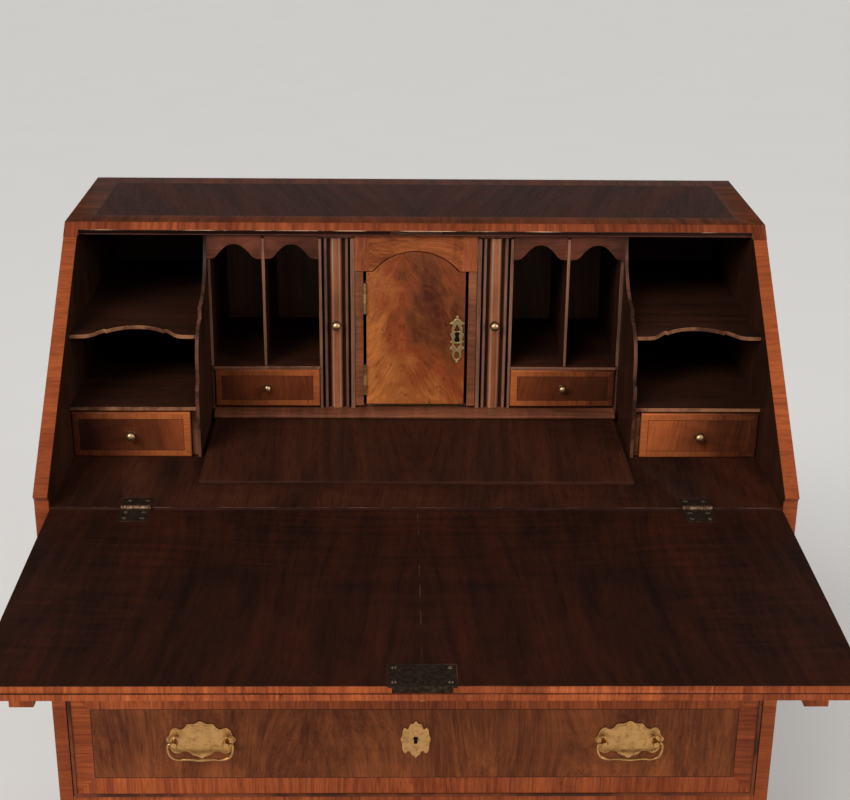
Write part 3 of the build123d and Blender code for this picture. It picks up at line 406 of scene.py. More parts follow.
def plain(name, shade):
    """A dull even finish, for the painted shade inside a keyhole and for stringing."""
    look = Finish(name)
    share = look.mapped(look.noise(look.place, (600.0, 600.0, 600.0)), 0.35, 0.7, 0.0, 0.35)
    deep = between(shade, (0.0, 0.0, 0.0, 1.0), 0.5)
    return look.surface(look.mixed("MIX", share, shade, deep), 0.6, 0.1)


# Each wood: its light and its dark tone, its curl, its clouds, the roughness of its polish and whatever
# else sets it apart. A tone is one of the scene's, by name, or a display colour.
WOODS = {
    "banding": ("band_light", "band_dark", 0.08, 0.16, 0.32, dict(
        streak=1.7, shine=0.1, pores=0.5, fine=0.36, spread=0.13
    )),
    "slope": ("band_light", "band_dark", 0.06, 0.3, 0.32, dict(streak=1.5, shine=0.1, fine=0.3, spread=0.19)),
    "case": ("case_light", "case_dark", 0.1, 0.34, 0.3, dict(flow=0.05, shine=0.07, fine=0.26, spread=0.13)),
    "top": ("top_light", "top_dark", 0.12, 0.24, 0.24, dict(
        shine=0.01, matched=True, lean=(0.0, 0.0, 14.0), pores=0.25
    )),
    "inside": ("inside_light", "inside_dark", 0.1, 0.36, 0.4, dict(shine=0.08)),
    "fall": ("fall_light", "fall_dark", 0.3, 0.26, 0.38, dict(
        shine=0.02, seam=0.34, matched=True, lean=(0.0, 0.0, 4.0), streak=0.6, pores=0.3, spread=0.14,
        flow=0.02,
    )),
    "top edge": ((160, 80, 44), (92, 40, 24), 0.0, 0.2, 0.34, dict(
        shine=0.06, pores=0.3, fine=0.5, lean=(48.7, 0.0, 0.0)
    )),
    "top banding": ((106, 54, 30), (46, 24, 16), 0.1, 0.3, 0.26, dict(streak=1.8, pores=0.25, shine=0.02)),
    "bed": ((66, 33, 20), (22, 13, 10), 0.2, 0.52, 0.42, dict(shine=0.03, lean=(0.0, 0.0, 4.0))),
    "cover": ((70, 36, 23), (28, 16, 12), 0.3, 0.22, 0.36, dict(
        shine=0.04, matched=True, lean=(0.0, 0.0, 3.0), streak=0.7
    )),
    "valance": ((124, 66, 46), (48, 26, 20), 0.3, 0.46, 0.3, {}),
    "moulding": ((146, 84, 56), (58, 33, 24), 0.3, 0.46, 0.3, {}),
    "frieze": ((186, 104, 54), (92, 40, 22), 0.2, 0.36, 0.28, dict(
        streak=1.4, shine=0.1, spread=0.11, flow=0.07
    )),
    "patch": ((184, 100, 54), (104, 50, 30), 0.2, 0.3, 0.28, dict(streak=2.0, shine=0.12)),
    "stile": ((158, 92, 58), (78, 46, 34), 0.3, 0.4, 0.32, dict(streak=1.6)),
    "bead": ((150, 104, 80), (84, 56, 44), 0.1, 0.4, 0.3, dict(streak=1.6)),
    # Painted shade: a dark wood for grooves, undersides and shoulders where shade falls.
    "recess": ((66, 38, 30), (30, 17, 14), 0.12, 0.3, 0.4, {}),
    "lining": ((178, 122, 82), (124, 80, 52), 0.08, 0.3, 0.5, {}),
}
# The bright patches of a worn corner are partly wear and partly painted highlights.
# Each worn corner: its bright and its deep tone, and how much of it stays deep.
WORN_AND_SHEEN = {
    "edge": ((148, 98, 68), (78, 45, 30), 0.44),
    "divider": ((98, 60, 42), (48, 28, 19), 0.44),
    "bed": ((128, 92, 68), (36, 22, 16), 0.5),
    "top": ((196, 156, 122), (66, 38, 26), 0.5),
    "fall": ((104, 52, 34), (40, 22, 16), 0.5),
    "bead": ((110, 56, 30), (62, 30, 18), 0.44),
}
# Each metal: its bright tone, its film, its roughness, how strong the film is, how much stays bright
# and, where it isn't the usual, the scale of its spots.
METALS = {
    "aged brass": ("brass", "tarnish", 0.26, 0.45, 0.48),
    "handle brass": ((192, 146, 90), (112, 76, 44), 0.22, 0.6, 0.48, 120.0),
    "pierced brass": ((218, 188, 130), (120, 90, 54), 0.36, 0.6, 0.46),
    "dark rose": ((116, 84, 58), (44, 30, 22), 0.42, 0.85, 0.36),
    "dull brass": ((74, 59, 45), (34, 26, 20), 0.52, 0.85, 0.36),
    "knuckle": ((150, 120, 96), (66, 40, 28), 0.46, 0.92, 0.36),
    "worn steel": ((170, 150, 128), (78, 58, 44), 0.4, 0.7, 0.42),
    "iron": ((86, 80, 76), (54, 36, 26), 0.55, 0.8, 0.4),
}
# The keyhole's colour is painted shade; the stringing's is the inlay's own.
DULL = {"keyhole": (12, 9, 8), "stringing": (50, 26, 18)}
MADE = {}


def shade_of(value):
    """One of the scene's colours by its name, or a display colour."""
    return tuple(getattr(tones(), value)) if isinstance(value, str) else colour(*value)


def kept(key, make, row, *more, **looks):
    """A finish made once and then kept, from its row, which starts with two colours."""
    if key not in MADE:
        first, second, *values = row
        MADE[key] = make(key, shade_of(first), shade_of(second), *values, *more, **looks)
    return MADE[key]


def wood(kind, grain, offset=0.0, run=None):
    """One of the bureau's woods with its grain along an axis, laid in short pieces where it has a run."""
    *row, looks = WOODS[kind]
    key = f"{kind} grain {grain} {offset:.2f}" + (f" run {run}" if run else "")
    return kept(key, walnut, row, grain, offset, run, **looks)


def worn(kind):
    """The rubbed corner of one kind of board, with wear and painted highlights."""
    return kept(f"worn {kind}", worn_edge_with_sheen, WORN_AND_SHEEN[kind])


def metal(kind):
    """One of the bureau's metals."""
    return kept(kind, aged_metal, METALS[kind])


def dull(kind):
    """The painted shade inside a keyhole, or the dark of a fine inlaid line."""
    if kind not in MADE:
        MADE[kind] = plain(kind, colour(*DULL[kind]))
    return MADE[kind]


def even(finish):
    """Finishes every face alike."""
    return lambda centre, normal: finish


def fronted(front, rest):
    """Finishes the faces that look to the front one way, and the rest another."""
    return lambda centre, normal: front if normal.y < -0.5 else rest


def linked(name, data):
    """A new object in the scene."""
    thing = bpy.data.objects.new(name, data)
    bpy.context.scene.collection.objects.link(thing)
    return thing


def mesh_of(name, work):
    """A mesh made from a worked one, which is freed."""
    mesh = bpy.data.meshes.new(name)
    work.to_mesh(mesh)
    work.free()
    return mesh


def baked(thing):
    """A mesh of an object as its modifiers and settings show it."""
    return bpy.data.meshes.new_from_object(thing.evaluated_get(bpy.context.evaluated_depsgraph_get()))


def smoothed(mesh, angle=CORNER):
    """Shades a mesh smooth between its sharp corners."""
    mesh.polygons.foreach_set("use_smooth", [True] * len(mesh.polygons))
    mesh.set_sharp_from_angle(angle=math.radians(angle))


def welded(node):
    """A copy of a node's mesh with its triangles joined and its flat faces made whole."""
    work = bmesh.new()
    work.from_mesh(frame["nodes"][node].data)
    bmesh.ops.remove_doubles(work, verts=work.verts, dist=1e-6)
    bmesh.ops.dissolve_limit(
        work, angle_limit=math.radians(0.4), verts=work.verts, edges=work.edges, use_dissolve_boundaries=False
    )
    return work


def placed(name, work, materials, smooth=CORNER):
    """A finished object made from a worked mesh."""
    mesh = mesh_of(name, work)
    for material in materials:
        mesh.materials.append(material)
    smoothed(mesh, smooth)
    return linked(name, mesh)


def belong(piece, node):
    """Gives a piece the body of a node."""
    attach(piece, BODY_OF[node])


def stand_in(node, work, materials, width=None, rubbed=None, smooth=CORNER):
    """Puts a worked mesh in its node's place. Where a width is given its corners are rounded, and with a
    finish of wear and painted highlights only the weighed ones are."""
    piece = placed(f"{node}.finished", work, materials + ([rubbed] if rubbed else []), smooth)
    if width is not None:
        bevel = piece.modifiers.new("Arris", "BEVEL")
        bevel.width = width
        bevel.segments = 2
        bevel.limit_method = "WEIGHT" if rubbed else "ANGLE"
        bevel.angle_limit = math.radians(CORNER)
        bevel.harden_normals = True
        if rubbed:
            bevel.material = len(materials)
    belong(piece, node)
    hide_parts(node)


def weigh_edges(work, chosen):
    """Marks the chosen corners of a worked mesh for rounding."""
    layer = work.edges.layers.float.new("bevel_weight_edge")
    for edge in work.edges:
        if len(edge.link_faces) == 2 and edge.calc_face_angle() > math.radians(CORNER) and chosen(edge):
            edge[layer] = 1.0


def on_front(edge):
    """Whether a corner borders a face that looks to the front."""
    return any(face.normal.y < -0.3 for face in edge.link_faces)


def dressed(work, choose):
    """Gives each face of a worked mesh the material that suits it, and returns the materials."""
    materials = []
    for face in work.faces:
        material = choose(face)
        if material not in materials:
            materials.append(material)
        face.material_index = materials.index(material)
    return materials


def finished(node, choose, width=None, rubbed=None, corners=on_front):
    """A board or group of boards with eased corners, each face finished by its place and direction. With a
    finish of wear and painted highlights, only the corners that hands reach are eased."""
    work = welded(node)
    materials = dressed(work, lambda face: choose(face.calc_center_median(), face.normal))
    if rubbed:
        weigh_edges(work, corners)
    stand_in(node, work, materials, width or sizes().arris, rubbed)


def sliced(work, place, across, parts=None):
    """Cuts a worked mesh, or some faces of it, by a plane, and returns the faces on both sides."""
    if parts is None:
        geometry = work.verts[:] + work.edges[:] + work.faces[:]
    else:
        geometry = list({item for face in parts for item in (face, *face.edges, *face.verts)})
    cut = bmesh.ops.bisect_plane(work, geom=geometry, plane_co=place, plane_no=across)["geom"]
    return [item for item in cut if isinstance(item, bmesh.types.BMFace)]


def largest(faces):
    """The face with the largest area."""
    return max(faces, key=lambda face: face.calc_area())


def inset(work, face, thickness):
    """Insets a face by one width all round, and returns the ring round it."""
    return bmesh.ops.inset_individual(work, faces=[face], thickness=thickness, use_even_offset=True)["faces"]


def banded_front(work, width, line, field, bands):
    """Insets a front's largest forward face: a crossbanding, a fine line and the field inside it."""
    slack = 0.003
    forward = {face: face.calc_center_median().y for face in work.faces if face.normal.y < -0.9}
    front = largest(face for face, y in forward.items() if y < min(forward.values()) + slack)
    finish = {front: field}
    for thickness, chosen in ((width, bands), (line, (dull("stringing"), dull("stringing")))):
        for face in inset(work, front, thickness):
            offset = face.calc_center_median() - front.calc_center_median()
            level = abs(offset.z) > abs(offset.x) * 0.5 and abs(offset.z) > 1e-4
            finish[face] = chosen[1] if level else chosen[0]
    return finish


def ring_of(centre, side, rise, radius, count):
    """Points of a circle round a centre, between two directions."""
    turns = [2.0 * math.pi * number / count for number in range(count)]
    return [centre + side * (radius * math.cos(turn)) + rise * (radius * math.sin(turn)) for turn in turns]


def skinned(work, rings, index=0):
    """A closed skin over rings of points, one after another."""
    rows = [[work.verts.new(point) for point in ring] for ring in rings]
    faces = [work.faces.new(rows[0]), work.faces.new(list(reversed(rows[-1])))]
    for first, second in zip(rows, rows[1:]):
        for number in range(len(first)):
            after = (number + 1) % len(first)
            faces.append(work.faces.new((first[number], second[number], second[after], first[after])))
    for face in faces:
        face.material_index = index


def lathed(work, seat, profile, index=0, count=28):
    """A turned shape standing out from a seat towards the front; the profile is radius and reach."""
    rings = [ring_of(seat + OUT * reach, SIDE, RISE, radius, count) for radius, reach in profile]
    skinned(work, rings, index)


def softened(points, rounds=2, closed=True):
    """A polygon with its corners cut again and again, so that it reads as a curve."""
    for _ in range(rounds):
        after = points[1:] + (points[:1] if closed else [])
        cut = [] if closed else [points[0]]
        for first, second in zip(points, after):
            cut.append(tuple(a * 0.75 + b * 0.25 for a, b in zip(first, second)))
            cut.append(tuple(a * 0.25 + b * 0.75 for a, b in zip(first, second)))
        points = cut if closed else cut + [points[-1]]
    return points


def cut_plate(work, outlines, face_y, thickness, bevel):
    """A flat pierced plate on an upright face, from its outline and its holes in X and Z."""
    curve = bpy.data.curves.new("plate", "CURVE")
    curve.dimensions = "2D"
    curve.fill_mode = "BOTH"
    curve.extrude = thickness / 2.0 - bevel
    curve.bevel_depth = bevel
    curve.bevel_resolution = 1
    curve.offset = -bevel
    for outline in outlines:
        spline = curve.splines.new("POLY")
        spline.points.add(len(outline) - 1)
        for point, (x, z) in zip(spline.points, outline):
            point.co = (x, z, 0.0, 1.0)
        spline.use_cyclic_u = True
    holder = linked("plate", curve)
    mesh = baked(holder)
    bpy.data.objects.remove(holder)
    mesh.transform(
        Matrix.Translation((0.0, face_y - thickness / 2.0, 0.0)) @ Matrix.Rotation(math.radians(90.0), 4, "X")
    )
    work.from_mesh(mesh)


def keyhole_shade(work, outline, y):
    """A dark face painted as the shade behind a keyhole, in the second of its piece's finishes."""
    hollow = work.faces.new([work.verts.new((x, y, z)) for x, z in outline])
    hollow.normal_update()
    if hollow.normal.y > 0.0:
        hollow.normal_flip()
    hollow.material_index = 1


def fastener_tree():
    """Geometry Nodes that set a head on every point of a mesh, each turned by its own angle."""
    tree = bpy.data.node_groups.new("Fasteners", "GeometryNodeTree")
    for name, kind in (
        ("Geometry", "Geometry"),
        ("Head", "Object"),
        ("Facing", "Rotation"),
        ("Turn", "Float"),
        ("Seed", "Int"),
        ("Finish", "Material"),
    ):
        tree.interface.new_socket(name, in_out="INPUT", socket_type=f"NodeSocket{kind}")
    tree.interface.new_socket("Geometry", in_out="OUTPUT", socket_type="NodeSocketGeometry")
    given = tree.nodes.new("NodeGroupInput").outputs
    head = add_node(tree, "GeometryNodeObjectInfo", Object=given["Head"])
    chance = add_node(tree, "FunctionNodeRandomValue", Max=given["Turn"], Seed=given["Seed"])
    angle = add_node(tree, "ShaderNodeCombineXYZ", Z=chance.outputs["Value"])
    spin = add_node(tree, "FunctionNodeEulerToRotation", Euler=angle.outputs["Vector"])
    turns = {"Rotation": given["Facing"], "Rotate By": spin.outputs["Rotation"]}
    facing = add_node(tree, "FunctionNodeRotateRotation", rotation_space="LOCAL", **turns)
    places = {"Instance": head.outputs["Geometry"], "Rotation": facing.outputs["Rotation"]}
    scatter = add_node(tree, "GeometryNodeInstanceOnPoints", Points=given["Geometry"], **places)
    real = add_node(tree, "GeometryNodeRealizeInstances", Geometry=scatter.outputs["Instances"])
    finish = add_node(tree, "GeometryNodeSetMaterial", Geometry=real.outputs["Geometry"])
    fill(tree, finish.inputs["Material"], given["Finish"])
    add_node(tree, "NodeGroupOutput", Geometry=finish.outputs["Geometry"])
    return tree


def head_shape(radius, height, slotted):
    """One domed head on Z, with a cut slot if it is a screw's."""
    work = bmesh.new()
    profile = ((radius, 0.0), (radius, height * 0.45), (radius * 0.8, height * 0.85), (radius * 0.3, height))
    skinned(work, [ring_of(RISE * reach, SIDE, -OUT, width, 20) for width, reach in profile])
    if slotted:
        for sign in (-1.0, 1.0):
            sliced(work, SIDE * (sign * radius * 0.16), SIDE)
        for vertex in work.verts:
            if abs(vertex.co.x) < radius * 0.17 and vertex.co.z > height * 0.5:
                vertex.co.z -= height * 0.4
    return linked("head", mesh_of("head", work))


def fasteners(name, node, points, head, turn, seed, finish):
    """Bakes a head on every point of a node, turned about X to face outwards; a head is its radius, its
    height and whether it is slotted."""
    work = bmesh.new()
    for point in points:
        work.verts.new(point)
    holder = linked(name, mesh_of(f"{name}.points", work))
    shape = head_shape(*head)
    facing = Matrix.Rotation(turn, 3, "X").to_euler()
    tree = bpy.data.node_groups.get("Fasteners") or fastener_tree()
    nodes = holder.modifiers.new("Fasteners", "NODES")
    nodes.node_group = tree
    values = {"Head": shape, "Facing": facing, "Turn": 2.0 * math.pi, "Seed": seed, "Finish": metal(finish)}
    for item in tree.interface.items_tree:
        if item.in_out == "INPUT" and item.name in values:
            nodes[item.identifier] = values[item.name]
    mesh = baked(holder)
    holder.modifiers.remove(nodes)
    bpy.data.objects.remove(shape)
    holder.data = mesh
    smoothed(mesh)
    belong(holder, node)


class MakeCase(bpy.types.Operator):
    """Ends, top, rails, panels, mouldings and feet of the case"""

    bl_idname = "bureau.make_case"
    bl_label = "Case"

    def execute(self, context):
        small = sizes()
        slope_band, front_band = wood("slope", "x", run="z"), wood("slope", "x", 0.3, run="z")
        for number, node in enumerate(("side_left", "side_right")):
            outside, inside = wood("case", "z", 0.3 * number), wood("inside", "z", 0.2 * number)
            outward = -1.0 if node == "side_left" else 1.0

            def end_face(centre, normal, outward=outward, outside=outside, inside=inside):
                if normal.y < -0.9:
                    return front_band
                if abs(normal.x) < 0.5 and normal.y < 0.2:
                    return slope_band
                return outside if normal.x * outward > 0.5 or normal.y > 0.5 else inside

            finished(node, end_face, small.heavy_arris)
        self.top(small)
        self.bed(small)
        finished("frieze_panel", even(wood("case", "x", 0.2)))
        finished("drawer_rails", fronted(wood("banding", "z", run="x"), wood("lining", "x")))
        finished("base_moulding", even(wood("case", "x", 0.7)))
        feet = {True: wood("case", "x", 0.9), False: wood("case", "y", 0.9)}
        finished("bracket_feet", lambda centre, normal: feet[abs(normal.y) > 0.5], small.heavy_arris)
        for node in ("loper_left", "loper_right"):
            finished(node, fronted(wood("banding", "z", 0.6), wood("lining", "y")))
        finished("loper_guides", fronted(wood("banding", "z", 0.8), wood("lining", "y", 0.3)))
        self.back(small)
        for node in ("dust_boards", "bottom_board"):
            finished(node, even(wood("lining", "x", 0.3)))
        finished("well_box", even(wood("inside", "x", 0.3)))
        return {"FINISHED"}

    def bed(self, small):
        """The bed board: banded front, with a strip of painted shade along its upper edge, where the closed
        fall meets it.
        """
        work = welded("bed_board")
        # Height of the strip of painted shade along the top of the front.
        shade_strip = 0.0035
        edge_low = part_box("bed_board")[1].z - shade_strip
        sliced(work, RISE * edge_low, RISE)

        def face_of(face):
            if face.normal.z > 0.5:
                return wood("bed", "y", 0.5)
            if face.normal.y > -0.5:
                return wood("inside", "x")
            high = face.calc_center_median().z > edge_low
            # The upper strip of the front is painted in shade.
            return wood("recess", "x", 0.3) if high else wood("banding", "z", run="x")

        materials = dressed(work, face_of)
        weigh_edges(work, on_front)
        stand_in("bed_board", work, materials, small.arris * 0.8, worn("bed"))

    def top(self, small):
        """The matched veneer of the top inside its crossbanding, with worn lower corners."""
        work = welded("top_board")
        field = largest(face for face in work.faces if face.normal.z > 0.9)
        outer = inset(work, field, small.top_band)
        line = inset(work, field, small.stringing * 1.5)
        middle = field.calc_center_median()
        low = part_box("top_board")[0]
        ledge_reach, foot_reach, foot_drop, slack = 0.002, 0.0085, 0.004, 0.001
        chipped = self.chipped_strip(work, low)

        def choose(face):
            centre, normal = face.calc_center_median(), face.normal
            if face is field:
                return wood("top", "y")
            if face in line:
                return dull("stringing")
            if face in outer:
                front_or_back = abs((centre - middle).y) > 0.05
                return wood("top banding", "y", 0.2) if front_or_back else wood("top banding", "x", 0.4)
            if normal.z < -0.9:
                return wood("inside", "x")
            if abs(normal.x) > 0.5:
                return wood("banding", "z", run="y")
            if face in chipped:
                return worn("top")
            if normal.y < -0.4 and normal.z > 0.0:
                ledge = centre.z < low.z + ledge_reach
                return wood("valance", "x", 0.6) if ledge else wood("top edge", "z", run="x")
            # The shoulder under the front band is painted in shade.
            return wood("case", "x", 0.6) if normal.y > 0.5 else wood("recess", "x", 0.6)

        def front_foot(edge):
            first, second = (vertex.co for vertex in edge.verts)
            level = abs(first.z - second.z) < slack
            return level and max(first.y, second.y) < low.y + foot_reach and first.z < middle.z - foot_drop

        weigh_edges(work, front_foot)
        stand_in("top_board", work, dressed(work, choose), small.heavy_arris * 0.7, worn("top"))

    def chipped_strip(self, work, low):
        """Cuts a narrow strip along the lower edge of the top's front band, where it is chipped light."""
        strip, ledge_height, ledge_depth = 0.0009, 0.004, 0.012
        band = largest(face for face in work.faces if face.normal.y < -0.4 and face.normal.z > 0.3)
        near = (v.co for v in band.verts if v.co.z > low.z + ledge_height and v.co.y < low.y + ledge_depth)
        corner = min(near, key=lambda place: place.z)
        reach = abs(corner.x)
        rise = Vector((0.0, band.normal.z, -band.normal.y))
        parts = [band]
        for place, across in ((corner + rise * strip, rise), (SIDE * reach, SIDE), (SIDE * -reach, SIDE)):
            parts = sliced(work, place, across, parts)
        limit = (corner + rise * strip).dot(rise)
        centres = {face: face.calc_center_median() for face in parts}
        below = {face for face, centre in centres.items() if centre.dot(rise) < limit}
        return {face for face in below if abs(centres[face].x) < reach}

    def back(self, small):
        """The back boards, planed just under the ends so that their nail heads don't stand out."""
        node, planed = "back_boards", 0.0005
        low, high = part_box(node)
        outside, inside = wood("lining", "z", 0.3), wood("inside", "z", 0.6)
        work = welded(node)
        for vertex in work.verts:
            vertex.co.y = min(vertex.co.y, high.y - planed)
        stand_in(node, work, dressed(work, lambda f: outside if f.normal.y > 0.5 else inside), small.arris)
        self.nails(small, low, high)

    def nails(self, small, low, high):
        """A row of nails along both edges of each back board."""
        count, planks, margin, sink_share = 7, 4, 0.012, 0.41
        pitch = (high.x - low.x) / planks
        points = []
        for plank in range(planks):
            for x in (low.x + plank * pitch + margin * 2.0, low.x + (plank + 1) * pitch - margin * 2.0):
                for number in range(count):
                    z = low.z + margin + (high.z - low.z - 2.0 * margin) * (number / (count - 1))
                    points.append((x, high.y - small.nail_radius * sink_share, z))
        head = (small.nail_radius, small.nail_radius * 0.4, False)
        fasteners("back_nails", "back_boards", points, head, math.radians(-90.0), 3, "iron")


class MakeInterior(bpy.types.Operator):
    """Dividers, shelves, nest, moulding, valances and well cover"""

    bl_idname = "bureau.make_interior"
    bl_label = "Interior boards"

    def execute(self, context):
        small = sizes()
        edge, divider_edge = worn("edge"), worn("divider")

        def divider(centre, normal):
            return wood("inside", "z", 0.8) if abs(normal.x) > 0.5 else divider_edge

        def shelf(centre, normal):
            return edge if abs(normal.z) < 0.5 and normal.y < -0.1 else wood("inside", "x", 0.1)

        def nest(centre, normal):
            if normal.y < -0.5:
                return wood("bead", "z", 0.4)
            return wood("inside", "z" if abs(normal.x) > 0.5 else "x", 0.35)

        finished("wing_dividers", divider, small.arris, divider_edge)
        finished("wing_shelves", shelf, small.arris, edge)
        finished("nest_case", nest, small.arris * 0.7, edge)
        finished("nest_moulding", even(wood("moulding", "x", 0.3)), small.arris * 0.6)
        # The valances' backs and undersides are painted in shade.
        finished("valances", fronted(wood("valance", "x"), wood("recess", "x")), small.arris * 0.6)
        cover, lip = wood("cover", "y", 0.2), wood("inside", "x", 0.1)
        finished("well_cover", lambda c, n: cover if n.z > 0.5 else lip, small.arris, worn("fall"))
        return {"FINISHED"}


class MakeCupboard(bpy.types.Operator):
    """Arched frieze, stiles and burr door of the cupboard"""

    bl_idname = "bureau.make_cupboard"
    bl_label = "Cupboard"

    def execute(self, context):
        small = sizes()
        low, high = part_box("cupboard_door")
        # The frieze's middle piece reaches this far to each side, and comes down this far over the door.
        patch, frieze_drop = 0.062, 0.03
        frieze_low = max(v.co.z for v in frame["nodes"]["cupboard_door"].data.vertices) - frieze_drop
        work = welded("cupboard_surround")
        for place in (-patch, patch):
            sliced(work, SIDE * place, SIDE)

        def surround_face(face):
            centre = face.calc_center_median()
            if centre.z < frieze_low and abs(centre.x) > high.x:
                return wood("stile", "x", 0.2)
            return wood("patch", "z", 0.1) if abs(centre.x) > patch else wood("frieze", "x")

        stand_in("cupboard_surround", work, dressed(work, surround_face), small.arris * 0.6)
        row = ("burr_light", "burr_dark", tuple((low + high) / 2.0), 0.13, 0.3)
        finished("cupboard_door", even(kept("burr walnut", burr, row)))
        return {"FINISHED"}


class MakeFall(bpy.types.Operator):
    """The fall, with its two matched leaves of veneer inside"""

    bl_idname = "bureau.make_fall"
    bl_label = "Fall"

    def execute(self, context):
        inside, outside, band = wood("fall", "y"), wood("case", "y", 0.5), wood("banding", "z", 0.5, run="x")

        def fall_face(centre, normal):
            if abs(normal.z) < 0.5:
                return band
            return inside if normal.z > 0.0 else outside

        def round_top(edge):
            return any(face.normal.z > 0.5 for face in edge.link_faces)

        finished("fall_board", fall_face, sizes().arris, worn("fall"), round_top)
        return {"FINISHED"}


# Each small drawer, the side that its painted light comes from, and the light tone of its veneer.
SMALL_DRAWERS = (
    ("wing_drawer_left", 1.0, (136, 67, 35)),
    ("wing_drawer_right", -1.0, (178, 92, 48)),
    ("centre_drawer_left", 0.6, (142, 69, 36)),
    ("centre_drawer_right", -1.0, (126, 61, 32)),
)


class MakeSmallDrawers(bpy.types.Operator):
    """Wing, centre and column drawers of the interior"""

    bl_idname = "bureau.make_small_drawers"
    bl_label = "Interior drawers"

    def execute(self, context):
        small = sizes()
        for place, (node, lit_from, light) in enumerate(SMALL_DRAWERS):
            work = welded(node)
            low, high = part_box(node)
            # Painted light and shade across the front and its banding, lighter towards the drawer's given
            # side.
            lit = (tuple((low + high) / 2.0), (lit_from, 0.0, 0.3), (high.x - low.x) / 2.0)
            lean = (0.0, 11.0 * lit_from, 0.0)
            row = (light, (54, 26, 16), 0.16, 0.56, 0.28)
            field = kept(f"{node} veneer", walnut, row, "z", 0.23 * place, lean=lean, fine=0.14, lit=lit)
            row = ((176, 94, 48), (80, 39, 22), 0.1, 0.4, 0.3)
            more = dict(offset=0.31 * place, streak=1.6, shine=0.12, lit=lit)
            bands = [kept(f"{node} banding {grain}", walnut, row, grain, **more) for grain in "xz"]
            finish = banded_front(work, small.drawer_band, small.stringing * 0.7, field, bands)
            self.boxed(work, node, lambda face: finish.get(face, bands[0]), front_depth=0.0081)
        for place, node in enumerate(("column_drawer_left", "column_drawer_right")):
            self.column(node, place)
        return {"FINISHED"}

    def column(self, node, place):
        """A document drawer: a polished half column with painted highlights down both sides, between two
        beads.
        """
        groove_depth, column_reach = 0.0074, 0.009
        work = welded(node)
        # The grooves beside the column are painted in shade.
        groove_shade = wood("recess", "z", 0.2 * place)
        low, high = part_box(node)
        middle = (low.x + high.x) / 2.0
        row = ((172, 102, 62), (98, 52, 32), 0.12, 0.3, 0.2)
        # Where the painted highlights run: the column's middle, how far out each line sits and how wide it
        # fades.
        lines = (middle, 0.0046, 0.0017)
        shaft = kept(f"{node} shaft", walnut, row, "z", 0.2 * place, shine=0.5, rubbed=lines)

        def face_of(face):
            centre = face.calc_center_median()
            if face.normal.y < -0.9 and centre.y > low.y + groove_depth:
                return groove_shade
            return shaft if abs(centre.x - middle) < column_reach else wood("bead", "z", 0.1)

        self.boxed(work, node, face_of, front_depth=0.0111)

    def boxed(self, work, node, front_face, front_depth):
        """Finishes the front with its own woods and the box behind it with drawer lining."""
        lining = wood("lining", "y", 0.5)
        front_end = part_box(node)[0].y + front_depth

        def face_of(face):
            return lining if face.calc_center_median().y > front_end else front_face(face)

        stand_in(node, work, dressed(work, face_of), sizes().arris)


class MakeCaseDrawers(bpy.types.Operator):
    """Four main drawers, crossbanded and cock-beaded"""

    bl_idname = "bureau.make_case_drawers"
    bl_label = "Main drawers"

    def execute(self, context):
        small = sizes()
        bands = (wood("banding", "x", 0.2, run="z"), wood("banding", "z", 0.2, run="x"))
        lining = wood("lining", "y", 0.9)
        # From the bead's front edge to its back edge, and to the back of the drawer's front.
        bead_depth, front_depth = 0.0065, 0.0205
        bead = worn("bead")
        drawers = ("short_drawer_left", "short_drawer_right", "upper_drawer", "lower_drawer")
        for place, node in enumerate(drawers):
            work = welded(node)
            field = wood("case", "z", 0.15 + 0.21 * place)
            finish = banded_front(work, small.case_drawer_band, small.stringing, field, bands)
            face_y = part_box(node)[0].y

            def face_of(face, finish=finish, face_y=face_y):
                depth = face.calc_center_median().y - face_y
                if depth > front_depth:
                    return finish.get(face, lining)
                return finish.get(face, bead if depth < bead_depth else wood("case", "x", 0.5))

            stand_in(node, work, dressed(work, face_of), small.arris)
        return {"FINISHED"}


# Turned knob: radius and reach from the face, in shares of the bulb's radius and the whole length. Its
# rose, the first few rings, is dark.
ROSE = ((1.25, 0.0), (1.25, 0.045), (1.16, 0.09), (0.98, 0.105), (0.86, 0.10), (0.62, 0.14))
BULB = (
    (0.62, 0.14), (0.48, 0.2), (0.46, 0.26), (0.58, 0.33), (0.9, 0.4), (1.1, 0.5), (1.17, 0.6), (1.14, 0.7),
    (1.02, 0.8), (0.84, 0.88), (0.7, 0.92), (0.62, 0.93), (0.54, 0.955), (0.34, 0.985), (0.05, 1.0),
)

# Right half of the pierced keyhole plate, in half widths and from its foot up in heights, then its
# holes. The keyhole is the round-topped one.
DOOR_PLATE = (
    (0.0, 0.0), (0.2, 0.012), (0.2, 0.05), (0.32, 0.075), (0.56, 0.12), (0.66, 0.175), (0.58, 0.225),
    (0.5, 0.262), (0.74, 0.28), (0.96, 0.305), (0.92, 0.335), (0.68, 0.36), (0.6, 0.41), (0.7, 0.435),
    (0.94, 0.45), (0.66, 0.48), (0.72, 0.54), (0.9, 0.585), (0.88, 0.625), (0.64, 0.66), (0.74, 0.7),
    (0.72, 0.745), (0.5, 0.785), (0.62, 0.81), (1.0, 0.83), (0.96, 0.85), (0.56, 0.87), (0.44, 0.915),
    (0.12, 0.935), (0.16, 0.955), (0.22, 0.975), (0.12, 0.996), (0.0, 1.0),
)
PLATE_HOLES = (
    ((0.0, 0.835), (0.22, 0.75), (0.46, 0.688), (0.2, 0.672), (0.0, 0.668)),
    ((0.0, 0.288), (0.18, 0.34), (0.5, 0.405), (0.3, 0.418), (0.0, 0.412)),
    ((0.0, 0.075), (0.26, 0.1), (0.36, 0.165), (0.26, 0.23), (0.0, 0.255)),
)
KEYHOLE = ((0.0, 0.662), (0.24, 0.656), (0.34, 0.615), (0.2, 0.565), (0.36, 0.5), (0.36, 0.455), (0.0, 0.448))

